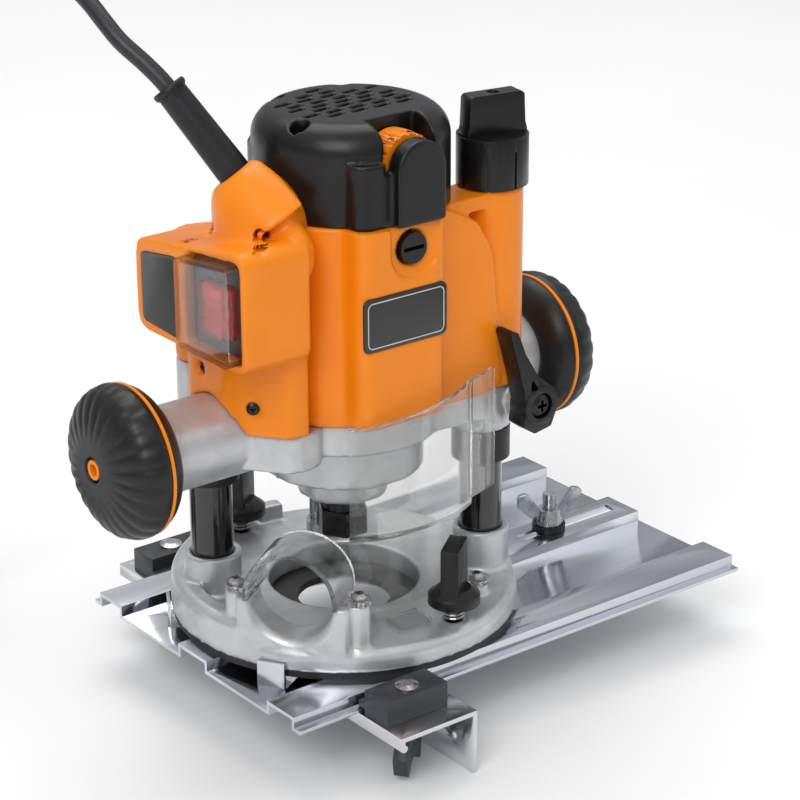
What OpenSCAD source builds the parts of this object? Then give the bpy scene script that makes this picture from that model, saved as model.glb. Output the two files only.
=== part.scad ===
// Plunge router standing on a corrugated edge-guide plate with a sliding fence.
// Millimetres, +Z up. The origin is on the spindle axis, in the plane of the sole.
// +X runs along the two handles, the switch side is at -X and the front faces -Y.

/* [Base] */
// outside diameter of the round base casting
base_d = 148; // [147:1:150]
// height of the base's floor above the sole plane
floor_z = 12.5; // [12:0.5:13]
// height of the raised rim at the back and left
rim_z = 19.5; // [18:0.5:21]
// diameter of the bit opening in the sole
bit_opening_d = 40; // [34:1:44]
// diameter of the hand screws that hold the base to the guide plate
hand_screw_d = 6; // [5:0.5:6]

/* [Columns and plunge] */
// diameter of each guide column
column_d = 18; // [16:0.5:18.5]
// top of the column bosses
boss_z = 30.6; // [29:0.2:32]
// outside diameter of the column bosses
boss_d = 24.6; // [24:0.2:26]

/* [Handles] */
// height of the handle axis above the sole plane
handle_z = 93.3; // [92:0.1:95]
// diameter of each handle arm
arm_d = 36; // [34:0.5:38]
// largest diameter of each knob
knob_d = 63.6; // [62:0.2:65]

/* [Motor] */
// outside radius of the motor housing
housing_r = 43; // [42:0.5:44]
// inside radius of the motor housing
cavity_r = 37; // [36.5:0.5:37.5]
// height of the lower edge of the orange housing
housing_z = 98; // [97:0.5:99]
// height of the joint between the housing and the black cap
cap_z = 182; // [181:0.5:183]
// top of the black cap
cap_top_z = 221.5; // [220:0.5:223]
// collet bore diameter
collet_d = 8; // [6:0.5:9]

/* [Guide plate] */
// left end of the plate
plate_left = -78.5; // [-80:0.5:-77]
// right end of the plate
plate_right = 162; // [155:1:170]
// sheet thickness of the plate
sheet_t = 1.5; // [1.2:0.1:1.6]
// how far the feet lie below the tops of the ribs
rib_step = 4.6; // [4.2:0.1:5]

/* [Fence] */
// length of the fence across the plate
fence_l = 205; // [200:1:215]
// width of the fence's top flange
fence_w = 38.5; // [37:0.5:39]
// depth of the fence's upright face
fence_h = 28; // [26:0.5:30]

/* [Cord] */
// diameter of the mains cord
cord_d = 7; // [6.6:0.1:7.4]

/* [Node] */
// the sub-part to draw, or all of them

/* [Hidden] */
$fn = 64;

gap = 0.3;
fit = 0.05;
base_r = base_d / 2;
column_r = column_d / 2;
sole_t = 3;
column_left = [-51, 23.8];
column_right = [54, -26];
column_top = 122;
sleeve_r = 12.3;
tower = [56.5, -27.7];
adjust_xy = [57.1, -28];
tower_r = 13.6;
tower_top = 183;

// extraction port, pointing out over the left front of the base
port_angle = 215.5;
port_z = 33.5;
port_r = 18;
port_face = 72;
ear_t = 2.5;
post_x = 61.3;
post_y = 26.1;

// hand screws through the base into the outer ribs of the plate
hand_xy = [9, -63.5];
hood_screw = [33, -49];
stop_xy = [22, 42];

// guide plate and fence
foot_z = -rib_step;
plate_low = foot_z - sheet_t;
rib_front = [-71.5, -53];
rib_mid = [-10.5, 10.5];
rib_rear = [54, 71.5];
pin_xy = [117, 1];
fence_x = -49;
fence_top = plate_low - gap;
fence_t = 2;
block_y = 85;
block_x = -32.5;

// motor
brush_z = 172;
motor_low = 70;
cap_r = 40;

// ---------- general shapes ----------

module disc(r, z0, z1) {
  translate([0, 0, z0]) cylinder(r = r, h = z1 - z0);
}

module ring(ro, ri, z0, z1) {
  difference() {
    disc(ro, z0, z1);
    disc(ri, z0 - 1, z1 + 1);
  }
}

module block(x0, x1, y0, y1, z0, z1) {
  translate([x0, y0, z0]) cube([x1 - x0, y1 - y0, z1 - z0]);
}

// a cylinder whose axis lies along Y, from y0 to y1
module along_y(r, y0, y1) {
  translate([0, y0, 0]) rotate([-90, 0, 0]) cylinder(r = r, h = y1 - y0);
}

// a cylinder whose axis lies along X, from x0 to x1
module along_x(r, x0, x1) {
  translate([x0, 0, 0]) rotate([0, 90, 0]) cylinder(r = r, h = x1 - x0);
}

// corner of a polygon turned into an arc of radius r with n steps
function unit(v) = v / norm(v);
function arc_at(a, b, c, r, n) =
  let (
    u = unit(a - b),
    v = unit(c - b),
    half = acos(max(-1, min(1, u * v))) / 2,
    d = r / tan(half),
    m = b + unit(u + v) * r / sin(half),
    p = b + u * d,
    q = b + v * d,
    s = atan2((p - m)[1], (p - m)[0]),
    e0 = atan2((q - m)[1], (q - m)[0]),
    e = e0 - s > 180 ? e0 - 360 : (e0 - s < -180 ? e0 + 360 : e0)
  )
  [for (i = [0 : n]) m + r * [cos(s + (e - s) * i / n), sin(s + (e - s) * i / n)]];
function rounded(pts, r, n = 5) =
  let (k = len(pts))
  [for (i = [0 : k - 1], p = arc_at(pts[(i + k - 1) % k], pts[i], pts[(i + 1) % k], r, n)) p];

module plan(pts, r, z0, z1) {
  translate([0, 0, z0]) linear_extrude(z1 - z0) polygon(rounded(pts, r));
}

// outline drawn in X and Z, standing from y0 to y1
module front_view(pts, r, y0, y1) {
  translate([0, y1, 0]) rotate([90, 0, 0]) linear_extrude(y1 - y0) polygon(rounded(pts, r));
}

// outline drawn in Y and Z, standing from x0 to x1
module side_view(pts, r, x0, x1) {
  translate([x0, 0, 0]) rotate([90, 0, 90]) linear_extrude(x1 - x0) polygon(rounded(pts, r));
}

// pan-head screw with a cross recess; the seat of the head is at the origin
module pan_screw(head_r, shank_r, length) {
  difference() {
    union() {
      cylinder(r = shank_r, h = length + 1);
      translate([0, 0, length]) {
        cylinder(r = head_r, h = head_r * 0.4);
        translate([0, 0, head_r * 0.4]) cylinder(r1 = head_r, r2 = head_r * 0.6, h = head_r * 0.25);
      }
    }
    translate([0, 0, length + head_r * 0.4]) {
      cube([head_r, head_r * 0.28, head_r * 0.8], center = true);
      cube([head_r * 0.28, head_r, head_r * 0.8], center = true);
    }
  }
}

// helical spring: wire radius w, mean radius r, standing from z0 to z1
function helix_points(r, w, z0, z1, turns, per_turn, sides) =
  [for (i = [0 : turns * per_turn], j = [0 : sides - 1])
    let (
      t = 360 * i / per_turn,
      z = z0 + w + (z1 - z0 - 2 * w) * i / (turns * per_turn),
      a = 360 * j / sides,
      rr = r + w * cos(a)
    )
    [rr * cos(t), rr * sin(t), z + w * sin(a)]];
function strip_faces(n, s) = concat(
  [[for (j = [s - 1 : -1 : 0]) j]],
  [for (i = [0 : n - 1], j = [0 : s - 1])
    [i * s + j, i * s + (j + 1) % s, (i + 1) * s + (j + 1) % s, (i + 1) * s + j]],
  [[for (j = [0 : s - 1]) n * s + j]]
);
module spring(r, w, z0, z1, turns) {
  per_turn = 12;
  sides = 6;
  polyhedron(
    points = helix_points(r, w, z0, z1, turns, per_turn, sides),
    faces = strip_faces(turns * per_turn, sides)
  );
}

// ---------- base ----------

module rim_profile(r0, r1, top) {
  edge = 4.5;
  translate([r0, sole_t]) square([r1 - r0 - edge, top - sole_t]);
  translate([r0, sole_t]) square([r1 - r0, top - sole_t - edge]);
  translate([r1 - edge, top - edge]) circle(r = edge);
}

module base_casting() {
  color("#a9b0aa") difference() {
    union() {
      rotate_extrude() rim_profile(30, base_r, floor_z);
      rotate([0, 0, 78]) rotate_extrude(angle = 122)
        rim_profile(64, base_r - 0.15, rim_z);
      for (c = [column_left, column_right]) translate(c) {
        disc(boss_d / 2, sole_t, boss_z);
        translate([0, 0, floor_z]) cylinder(r1 = boss_d / 2 + 2, r2 = boss_d / 2, h = 2);
      }
      intersection() {
        rotate([0, 0, port_angle]) block(50, port_face, -24, 24, sole_t, port_z - ear_t);
        disc(base_r - 0.3, sole_t, port_z);
      }
      rotate([0, 0, port_angle]) for (s = [-1, 1]) translate([post_x, s * post_y])
        disc(4.8, sole_t, port_z - ear_t);
      translate(hood_screw) disc(5, sole_t, floor_z + 5);
      for (s = [-1, 1]) translate(s * hand_xy) disc(7, sole_t, floor_z + 0.8);
    }
    // bit opening with a seat for guide bushes
    disc(32, 0, floor_z + 1);
    // weight-saving pocket under the floor
    difference() {
      ring(62, 36, 0, 7);
      for (c = [column_left, column_right]) translate(c) disc(boss_d / 2 + 1, 0, 8);
      rotate([0, 0, port_angle]) block(44, 80, -30, 30, 0, 8);
      for (s = [-1, 1]) translate(s * hand_xy) disc(9, 0, 8);
      translate(hood_screw) disc(7, 0, 8);
      translate(stop_xy) disc(12, 0, 8);
    }
    // column sockets
    for (c = [column_left, column_right]) translate(c) disc(column_r, sole_t + 3, boss_z + 1);
    // extraction port
    rotate([0, 0, port_angle]) translate([0, 0, port_z]) {
      along_x(port_r, 44, 80);
      translate([port_face - 2.5, 0, 0]) rotate([0, 90, 0])
        cylinder(r1 = port_r, r2 = port_r + 2.6, h = 2.6);
    }
    rotate([0, 0, port_angle]) block(40, 56, -24, 24, floor_z, port_z + 1);
    // screw holes
    for (s = [-1, 1]) translate(s * hand_xy) {
      disc(hand_screw_d / 2 + gap, 0, floor_z + 2);
      disc(11.3, floor_z + 0.8, 30);
    }
    rotate([0, 0, port_angle]) for (s = [-1, 1]) translate([post_x, s * post_y])
      disc(1.6, port_z - 14, port_z);
    translate(hood_screw) disc(1.6, floor_z - 4, floor_z + 6);
    translate(stop_xy) disc(4 + fit, sole_t + 4, floor_z + 1);
  }
}

module sole_plate() {
  color("#1b1b1c") difference() {
    disc(base_r - 1, 0, sole_t);
    disc(bit_opening_d / 2, -1, sole_t + 1);
    for (s = [-1, 1]) translate(s * hand_xy) disc(hand_screw_d / 2 + gap, -1, sole_t + 1);
  }
}

module guide_columns() {
  color("#17181a") for (c = [column_left, column_right]) translate(c) difference() {
    disc(column_r, sole_t + 3, column_top);
    disc(column_r - 2.5, 40, column_top + 1);
  }
}

// clear hood around the cutter: a low skirt, a flare and a tall shield
hood_t = 2;
skirt_r = 50;
shield_r = 58;
flare_z = 50;
module chip_hood() {
  color("#cfd6da", 0.45) difference() {
    union() {
      rotate([0, 0, 236]) rotate_extrude(angle = 64) polygon([
        [skirt_r - hood_t, floor_z], [skirt_r, floor_z], [skirt_r, flare_z],
        [shield_r, flare_z + 5], [shield_r, 112], [shield_r - hood_t, 112],
        [shield_r - hood_t, flare_z + 6], [skirt_r - hood_t, flare_z + 1]
      ]);
      rotate([0, 0, 299]) rotate_extrude(angle = 22) translate([skirt_r - 1.9, floor_z])
        square([1.8, 21.5]);
      // flap that carries on in front of the right column
      translate([28.6, -51, 58]) rotate([0, 0, 17]) cube([17, hood_t, 52]);
      // cover of the extraction port, on the port's two posts
      rotate([0, 0, port_angle]) {
        intersection() {
          translate([0, 0, port_z]) difference() {
            along_x(port_r + 2, 47, port_face);
            along_x(port_r, 46, port_face + 1);
          }
          block(40, 80, -24, 24, port_z - ear_t, 60);
        }
        difference() {
          for (s = [-1, 1]) port_ear(s);
          translate([0, 0, port_z]) along_x(port_r, 46, port_face + 1);
        }
      }
      // foot tab in front and the ear of the right-hand screw
      block(-14, 1, -59, -47, floor_z, floor_z + 2);
      translate(hood_screw) disc(5.5, floor_z + 5, floor_z + 7);
      rotate([0, 0, 304]) block(skirt_r - hood_t, 60, -4, 4, floor_z + 5, floor_z + 7);
    }
    // top edge rises to the right
    translate([0, 0, 106]) rotate([0, -7.4, 0]) block(-90, 90, -90, 0, 0, 40);
    translate(hood_screw) disc(1.7, 0, 40);
    rotate([0, 0, port_angle]) {
      translate([0, 0, port_z]) along_x(port_r, 46, port_face + 1);
      for (s = [-1, 1]) translate([post_x, s * post_y]) disc(1.7, 20, 60);
    }
    translate(column_right) disc(boss_d / 2 + 2.5, 0, boss_z + 1);
    translate(column_right) disc(sleeve_r + 2, 30, 120);
  }
}
module port_ear(s) {
  translate([0, 0, port_z - ear_t]) {
    translate([post_x, s * post_y]) cylinder(r = 4.8, h = ear_t);
    translate([post_x - 4.8, s > 0 ? 17 : -post_y, 0]) cube([9.6, post_y - 17, ear_t]);
  }
}

module hood_screws() {
  color("#c9ccce") {
    rotate([0, 0, port_angle]) for (s = [-1, 1]) translate([post_x, s * post_y, port_z - 12])
      pan_screw(3.4, 1.5, 12);
    translate([hood_screw[0], hood_screw[1], floor_z - 3]) pan_screw(3.4, 1.5, 10);
  }
}

// hand screw that holds the base to the guide plate
module hand_screw() {
  color("#161617") {
    disc(10.8, 21, 25);
    translate([0, 0, 25]) cylinder(r1 = 10.8, r2 = 7, h = 3);
    translate([0, 0, 26]) linear_extrude(21) square([17, 7.5], center = true);
    disc(hand_screw_d / 2, plate_low + 0.2, 22);
  }
}
module hand_screw_front() {
  translate(hand_xy) rotate([0, 0, 38]) hand_screw();
}
module hand_screw_rear() {
  translate(-hand_xy) rotate([0, 0, 38]) hand_screw();
}
module hand_springs() {
  color("#b9bcbf") for (s = [-1, 1]) translate(s * hand_xy)
    spring(4, 0.6, floor_z + 0.8, 21 - gap, 4);
}

// stop turret on the base at the back, under the depth rod
module depth_turret() {
  color("#2a2a2c") {
    translate(stop_xy) {
      disc(4, sole_t + 4, floor_z + 1);
      disc(9, floor_z + gap, floor_z + 5);
    }
    for (a = [0, 120, 240]) translate([stop_xy[0] + 5 * cos(a), stop_xy[1] + 5 * sin(a)])
      disc(3, floor_z + 4, 40 - a / 15);
  }
}

// ---------- guide plate and fence ----------

module rib(y, x0, x1) {
  block(x0, x1, y[0], y[1], -sheet_t, 0);
  for (s = [0, 1]) block(x0, x1, y[s] - sheet_t * s, y[s] + sheet_t * (1 - s), plate_low, 0);
}
module foot(y0, y1, x0, x1) {
  block(x0, x1, y0, y1, plate_low, foot_z);
}
module tab_at(a) {
  rotate([0, 0, a]) block(base_r + 0.4, base_r + 0.4 + sheet_t, -6, 6, plate_low, 6.5);
}
module guide_plate() {
  color("#c5c8ca") difference() {
    union() {
      difference() {
        union() {
          for (r = [rib_front, rib_mid, rib_rear]) rib(r, plate_left, plate_right);
          foot(-75.5, rib_front[0] + sheet_t, plate_left, plate_right);
          foot(rib_front[1] - sheet_t, rib_mid[0] + sheet_t, plate_left, plate_right);
          foot(rib_mid[1] - sheet_t, rib_rear[0] + sheet_t, plate_left, plate_right);
          foot(rib_rear[1] - sheet_t, 75.5, plate_left, plate_right);
        }
        for (a = [150, 210]) rotate([0, 0, a])
          block(base_r - 12, base_r + 0.4, -6.5, 6.5, plate_low - 1, 1);
      }
      for (a = [150, 210]) tab_at(a);
    }
    disc(bit_opening_d / 2 + 10, plate_low - 1, 1);
    // slot for the turning pin
    block(pin_xy[0] - 17, pin_xy[0] + 38, pin_xy[1] - 3.2, pin_xy[1] + 3.2, -2, 1);
    for (s = [-1, 1]) translate(s * hand_xy) disc(hand_screw_d / 2 + gap, -3, 1);
  }
}

module pin_stud() {
  color("#8f9396") translate(pin_xy) {
    disc(3, -3, 17.5);
    disc(5.5, foot_z + 0.2, -sheet_t - 0.2);
  }
}
module pin_washer() {
  color("#1d1d1e") translate(pin_xy) ring(7.5, 3, 0.1, 3);
}
module wing_nut() {
  color("#b9bdc0") translate(pin_xy) difference() {
    union() {
      translate([0, 0, 3.2]) cylinder(r1 = 6.5, r2 = 5, h = 7);
      for (s = [-1, 1]) rotate([0, 0, -18]) mirror([s > 0 ? 0 : 1, 0, 0])
        front_view([[3, 4], [7, 4.5], [15, 12], [15.5, 18], [11, 19], [5, 11]], 1.5, -1.3, 1.3);
    }
    disc(3 + fit, 0, 22);
  }
}

module fence() {
  color("#c2c5c8") translate([fence_x, -fence_l / 2, 0]) difference() {
    union() {
      translate([0, 0, fence_top - fence_t]) cube([fence_w, fence_l, fence_t]);
      translate([fence_w - fence_t, 0, fence_top - fence_h])
        cube([fence_t, fence_l, fence_h]);
      translate([0, 0, fence_top - 5]) cube([fence_t, fence_l, 5]);
      translate([fence_t - 0.4, 0, fence_top - 5]) along_y(1.6, 0, fence_l);
    }
    for (s = [-1, 1]) translate([block_x - fence_x, fence_l / 2 + s * block_y, 0])
      disc(3.2, fence_top - 10, fence_top + 1);
    translate([fence_w - 5, 0, fence_top - 16]) for (y = [12, fence_l - 12])
      translate([0, y, 0]) along_x(1.6, 0, 10);
    // round opening for the cutter in the top flange
    translate([-fence_x, fence_l / 2]) disc(24, fence_top - 30, fence_top + 1);
  }
}
module clamp_block(s) {
  difference() {
    union() {
      block(block_x - 15.2, block_x + 15.2, s > 0 ? 77 : -92, s > 0 ? 92 : -77, fence_top, 4.5);
      block(block_x - 15.2, block_x + 15.2, s > 0 ? 73 : -78, s > 0 ? 78 : -73, foot_z + gap, -1.4);
    }
    translate([block_x, s * block_y]) disc(3 + fit, fence_top - 1, 5);
  }
}
module clamp_blocks() {
  color("#3c4148") for (s = [-1, 1]) clamp_block(s);
}
module fence_bolts() {
  color("#c9ccce") for (s = [-1, 1]) translate([block_x, s * block_y]) {
    disc(3, fence_top - 14, 4.5);
    disc(5, 4.5, 5.2);
    translate([0, 0, 5.2]) cylinder(r1 = 5, r2 = 2.6, h = 0.9);
  }
}
module fence_wing() {
  color("#2b2f35") difference() {
    union() {
      disc(6.5, fence_top - fence_t - 7, fence_top - fence_t - gap);
      front_view([[-6, -15], [6, -15], [11, -24], [9, -33], [3, -27], [-3, -27], [-9, -33],
        [-11, -24]], 1.2, -3, 3);
    }
    disc(3 + fit, fence_top - 15, 0);
  }
}
module fence_knob_front() {
  translate([block_x, -block_y]) rotate([0, 0, 36]) fence_wing();
}
module fence_knob_rear() {
  translate([block_x, block_y]) rotate([0, 0, 20]) fence_wing();
}

// ---------- head ----------

left_plan = [[-66, -12], [-50, -34], [-30, -34], [-30, 20], [-66, 20]];
lock_xz = [64.5, 90.3];
lever_y = [-52.6, -42.5];
module bracket_body() {
  plan([[-64, -11], [-48, -32], [-30, -32], [-30, 22], [-64, 22]], 8, 82, housing_z);
  disc(41.5, 84, housing_z);
  disc(34, 66, 84);
  disc(19, 53, 66);
  plan([[0, -34], [58, -38], [66, -12], [36, 28], [0, 34]], 8, 84, housing_z);
  translate(column_left) disc(sleeve_r, 74, housing_z + 20);
  translate(column_right) disc(sleeve_r, 77, housing_z - 1);
  translate(stop_xy) disc(8, 84, housing_z);
  translate([0, 0, handle_z]) {
    along_x(arm_d / 2, -99, -48);
    along_x(arm_d / 2, 48, 99);
  }
  // boss for the plunge lock
  translate([lock_xz[0], 0, lock_xz[1]]) along_y(8, -42.2, -12);
}
module motor_bracket() {
  color("#b4bab8") difference() {
    bracket_body();
    for (c = [column_left, column_right]) translate(c) disc(column_r + fit, 50, 130);
    disc(36, 86, housing_z + 1);
    disc(16, 62, 87);
    disc(11.5, 50, 63);
    // seats for the knob bolts
    translate([0, 0, handle_z]) for (s = [-1, 1])
      along_x(4, s > 0 ? 70 : -100, s > 0 ? 100 : -70);
    translate([lock_xz[0], 0, lock_xz[1]]) along_y(2.9, -44, -31.5);
    translate(stop_xy) disc(4 + fit, 60, 130);
    // way for the spindle lock
    translate([0, 0, 58]) along_y(2.5 + fit, 8, 30);
  }
}
module wiper_rings() {
  color("#232325") {
    translate(column_left) ring(sleeve_r, column_r + gap, 63.5, 74);
    translate(column_right) ring(sleeve_r, column_r + gap, 63, 77);
  }
}
module plunge_springs() {
  color("#8f9396") {
    for (c = [column_left, column_right]) translate(c) spring(4.5, 0.8, 40, 168, 10);
  }
}

// knob turned about the handle axis; x grows outwards from the router
module knob_profile() {
  r = knob_d / 2;
  polygon(concat(
    [[93.5, arm_d / 2 + 0.05], [94, 21], [96, 25.5], [99, 29], [102.8, r - 1]],
    [[102.8, r - 3], [104.2, r - 3], [104.2, r - 0.7], [106.5, r], [109.5, r - 0.3]],
    [for (a = [18 : 12 : 90]) [109.5 + 12 * sin(a), (r - 7) * cos(a) + 6.4]],
    [[121.5, 5.4], [119.6, 5.2], [119.6, 4.05], [99.1, 4.05], [99.1, arm_d / 2 + 0.05]]
  ));
}
module knob() {
  color("#1e1e1f") translate([0, 0, handle_z]) rotate([0, 90, 0])
    rotate_extrude() rotate([0, 0, 90]) mirror([0, 1]) knob_profile();
}
module knob_left() {
  mirror([1, 0, 0]) knob();
}
module knob_right() {
  knob();
}
module knob_rings() {
  r = knob_d / 2;
  color("#f08a10") for (s = [0, 1]) mirror([s, 0, 0]) translate([0, 0, handle_z])
    rotate([0, 90, 0]) {
      ring(r - 0.5, r - 3, 102.8, 104.2);
      ring(4.05, 2.6, 114, 121.2);
    }
}
module knob_bolts() {
  color("#b9bcbf") translate([0, 0, handle_z]) for (s = [0, 1]) mirror([s, 0, 0]) {
    along_x(4, 72, 113.8);
    along_x(2.6, 113, 115.5);
  }
}

// outline of the switch box, in Y and Z
box_outline = [[-41.5, 133], [-41.5, 183], [35, 171], [35, 133]];
// left half of the body with the switch box and the cord's hump
module switch_housing() {
  color("#f08a10") difference() {
    union() {
      plan(left_plan, 8, housing_z, 140);
      side_view(box_outline, 6, -76, -41);
      plan([[-58, -10], [-51, -26], [-30, -26], [-30, 12], [-58, 12]], 7, 160, 188);
      translate(column_left) disc(sleeve_r, housing_z, 171);
      // hump around the cord's boot
      boot_way() {
        translate([0, 0, -24]) cylinder(r1 = 27, r2 = 14, h = 23);
        translate([0, 0, -1]) cylinder(r1 = 14, r2 = 10, h = 3);
      }
    }
    // handle arm passes below an arch
    translate([0, 0, handle_z]) along_x(arm_d / 2 + fit, -90, -40);
    block(-90, -30, -50, 50, 60, housing_z);
    block(-44.5, -30, -50, -35, 60, 230);
    // inside space
    plan([[-62, -10], [-48, -29], [-43, -29], [-43, 8], [-62, 8]], 3, housing_z - 1, 134);
    translate(column_left) disc(column_r + gap, housing_z - 1, 168.5);
    translate(column_left) disc(sleeve_r + fit, housing_z - 1, housing_z + 20);
    side_view([[-36, 138], [-36, 176], [4, 170], [4, 138]], 4, -72, -44);
    // pocket of the switch
    side_view([[-38, 136], [-38, 178], [-1, 174], [-1, 136]], 3, -78, -70.5);
    // recess for the rating plate
    side_view([[4.5, 135.5], [4.5, 170.5], [31, 166.5], [31, 137]], 3, -77, -75.2);
    // way for the cord boot
    boot_way() translate([0, 0, -8]) cylinder(r = boot_r, h = 30);
    body_holes() cylinder(r = 3, h = 9);
    body_holes() translate([0, 0, -9]) cylinder(r = 1.55, h = 10);
    block(-41, 0, -60, 60, 60, 230);
    translate([0, -3, 0]) disc(housing_r + fit, 90, 240);
  }
}
// places and directions of the four body screws: +Z of each points out of the hole
module body_holes() {
  translate([-55, 5.5, 176.5]) rotate([0, -90, 0]) children();
  translate([-52.5, -20.5, 183]) rotate([0, 0, 233]) rotate([0, 90, 0]) children();
  translate([-63, 6, 121]) rotate([0, -90, 0]) children();
  translate([-58.5, -20, 110]) rotate([0, 0, 233]) rotate([0, 90, 0]) children();
}
module body_screws() {
  color("#6d7072") body_holes() translate([0, 0, -8.6]) pan_screw(2.7, 1.5, 8.6);
}

module motor_housing() {
  color("#f08a10") difference() {
    union() {
      translate([0, -3, 0]) disc(housing_r, housing_z, cap_z);
      plan([[-26, -50], [17, -50], [17, 0], [-26, 0]], 6, 100, cap_z);
      front_view(web_outline, 4, -42, 8);
      translate(tower) disc(tower_r, housing_z, tower_top);
      translate(column_right) disc(sleeve_r, housing_z, tower_top - 2);
      translate([0, 0, brush_z]) along_y(10.5, 30, 46);
      plan([[20, -38], [52, -38], [52, -18], [20, -18]], 3, 176, tower_top - 1);
    }
    disc(cavity_r, 90, 200);
    translate([0, 0, brush_z]) along_y(7 + fit, -60, 60);
    // pocket around the front brush cap
    translate([0.5, 0, brush_z]) along_y(12.5, -60, -47.6);
    block(-12, 13, -60, -47.6, brush_z, cap_z + 1);
    // column bore and the way for the depth spindle
    translate(column_right) disc(column_r + gap, 90, 172);
    translate(adjust_xy) disc(4, 170, 190);
    // recess for the badge
    front_view([[-26, 133], [-26, 156], [16, 156], [16, 133]], 3, -51, -49);
    translate([0, 0, handle_z]) along_x(arm_d / 2 + fit, 40, 100);
    translate([lock_xz[0], 0, lock_xz[1]]) along_y(8 + gap, -60, 0);
    // room for the cap's skirt
    translate([1, -7, 0]) disc(40 + gap, cap_z, 200);
  }
}
// front view of the web between the motor and the tower
web_outline = [[0, 98], [0, 181], [24, 181], [39, 173], [46.5, 160], [48.5, 145], [51.5, 98]];
module badge_plate() {
  color("#1a1a1b") front_view([[-25.7, 133.3], [-25.7, 155.7], [15.7, 155.7], [15.7, 133.3]],
    2.8, -50.3, -49);
}
module rating_plate() {
  color("#1a1a1b") side_view([[4.8, 135.8], [4.8, 170.2], [30.7, 166.2], [30.7, 137.3]], 2.8,
    -76.2, -75.2);
}

module motor_cap() {
  edge = 12;
  color("#1c1c1d") difference() {
    union() {
      translate([1, -7, 0]) {
        disc(cap_r, cap_z, cap_top_z - edge);
        translate([0, 0, cap_top_z - edge - 1]) rotate_extrude() {
          square([cap_r - edge, edge + 1]);
          translate([cap_r - edge, 0]) square([edge, 1]);
          translate([cap_r - edge, 1]) intersection() {
            circle(r = edge);
            square(edge);
          }
        }
      }
      disc(36.5, cap_z, cap_top_z - edge - 4);
      plan([[-24, -47], [16, -47], [22, 0], [-28, 0]], 7, cap_z, 208);
      front_view([[-9, cap_z], [-9, 215.4], [14.5, 215.4], [14.5, cap_z]], 1, -51.5, -44);
      translate([2.75, 0, 204]) along_y(11.75, -51.5, -44);
    }
    disc(32, cap_z - 1, 204);
    intersection() {
      translate([1, -7, 0]) disc(25, 203, cap_top_z - 3);
      block(-40, 40, -28, 40, 200, cap_top_z);
    }
    // round shoulders of the shield over the speed wheel
    difference() {
      block(-12, 18, -52, -43.5, 204, 220);
      translate([2.75, 0, 204]) along_y(11.75, -60, -40);
    }
    // space for the speed wheel
    translate([2, 0, 204]) along_y(14, -43.8, -30);
    translate([2, 0, 204]) along_y(2.5 + gap, -44, -20);
    block(-10.3, 14.3, -43.8, -30, 208, 230);
    block(-20, 12, -40, -10, cap_z - 1, 200);
    // slanted vents
    for (row = [-3 : 4], col = [-2 : 2]) {
      x = col * 11.2 + (row % 2) * 2.8;
      y = row * 4.9 - 1;
      if (norm([x, y]) < 25.5 && norm([x + 15, y - 19]) > 8 && norm([x - 17, y - 19]) > 8)
        translate([1 + x, y - 1, cap_top_z - 6]) rotate([0, 0, 8]) linear_extrude(8)
          square([8.6, 2.5], center = true);
    }
    // deep screw holes
    cap_holes() {
      disc(3.8, 207, 230);
      disc(1.7, cap_z - 1, 210);
    }
  }
}
module cap_holes() {
  for (a = [196, 60, 120]) translate([1 + 32.5 * cos(a), -7 + 32.5 * sin(a), 0]) children();
}
module cap_screws() {
  color("#6d7072") cap_holes() translate([0, 0, cap_z + 0.2]) pan_screw(3.1, 1.6, 24.8);
}
module speed_dial() {
  color("#f08a10") translate([2, 0, 204]) difference() {
    union() {
      along_y(12.8, -42.8, -31);
      along_y(2.5, -44 + gap, -26);
    }
    for (a = [0 : 20 : 340]) rotate([0, a, 0]) translate([0, 0, 13]) along_y(0.9, -44, -36);
  }
}
module speed_board() {
  color("#2f6b3c") translate([2, 0, 0]) difference() {
    block(-16, 13, -25.6, -24, 186, 214);
    translate([0, 0, 204]) along_y(2.5 + gap, -40, 0);
  }
}
module switch_body() {
  color("#151516") difference() {
    union() {
      side_view([[-37.5, 136.5], [-37.5, 177.5], [-1.5, 173.5], [-1.5, 136.5]], 2.8, -72, -70.5);
      block(-71, -52, -34, -6, 141.2, 168);
    }
    block(-73, -66, -29, -11, 144, 166);
  }
}
module switch_rocker() {
  color("#c02a1e") difference() {
    union() {
      side_view([[-28, 145], [-28, 165], [-12, 165], [-12, 145]], 1, -74.5, -67.5);
      translate([-70, 0, 155]) along_y(1.5, -28.7, -11.3);
    }
    translate([-80, 0, 155]) rotate([90, 0, 0]) cylinder(r = 6.4, h = 60, center = true);
  }
}
module switch_boot() {
  color("#d8d2cc", 0.5) difference() {
    side_view([[-37.5, 136.5], [-37.5, 177.5], [-1.5, 173.5], [-1.5, 136.5]], 2.8, -81.5, -72);
    side_view([[-35.5, 138.5], [-35.5, 175.2], [-3.5, 171.6], [-3.5, 138.5]], 2, -80, -71);
  }
}

// ---------- motor ----------

module stator() {
  color("#7f858a") difference() {
    disc(cavity_r, 112, 152);
    disc(22, 110, 154);
    for (s = [-1, 1]) block(-30, 30, s * 34 - 3, s * 34 + 3, 111, 153);
  }
}
module armature() {
  color("#9a5b2a") {
    ring(19.5, 6, 114, 150);
    for (a = [0 : 30 : 330]) rotate([0, 0, a]) block(8, 17, -1.6, 1.6, 108, 156);
  }
}
module commutator() {
  color("#b87333") ring(11, 6, 163, 178);
}
module cooling_fan() {
  color("#2b2b2d") {
    ring(32, 6, 99.5, 101.5);
    for (a = [0 : 36 : 324]) rotate([0, 0, a]) block(10, 31, -0.8, 0.8, 101, 107);
    ring(12, 6, 101, 107);
  }
}
module bearings() {
  color("#c9ccce") {
    ring(16, 6 + fit, 63, 74);
    ring(13, 6 + fit, 184, 193);
  }
}
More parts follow.
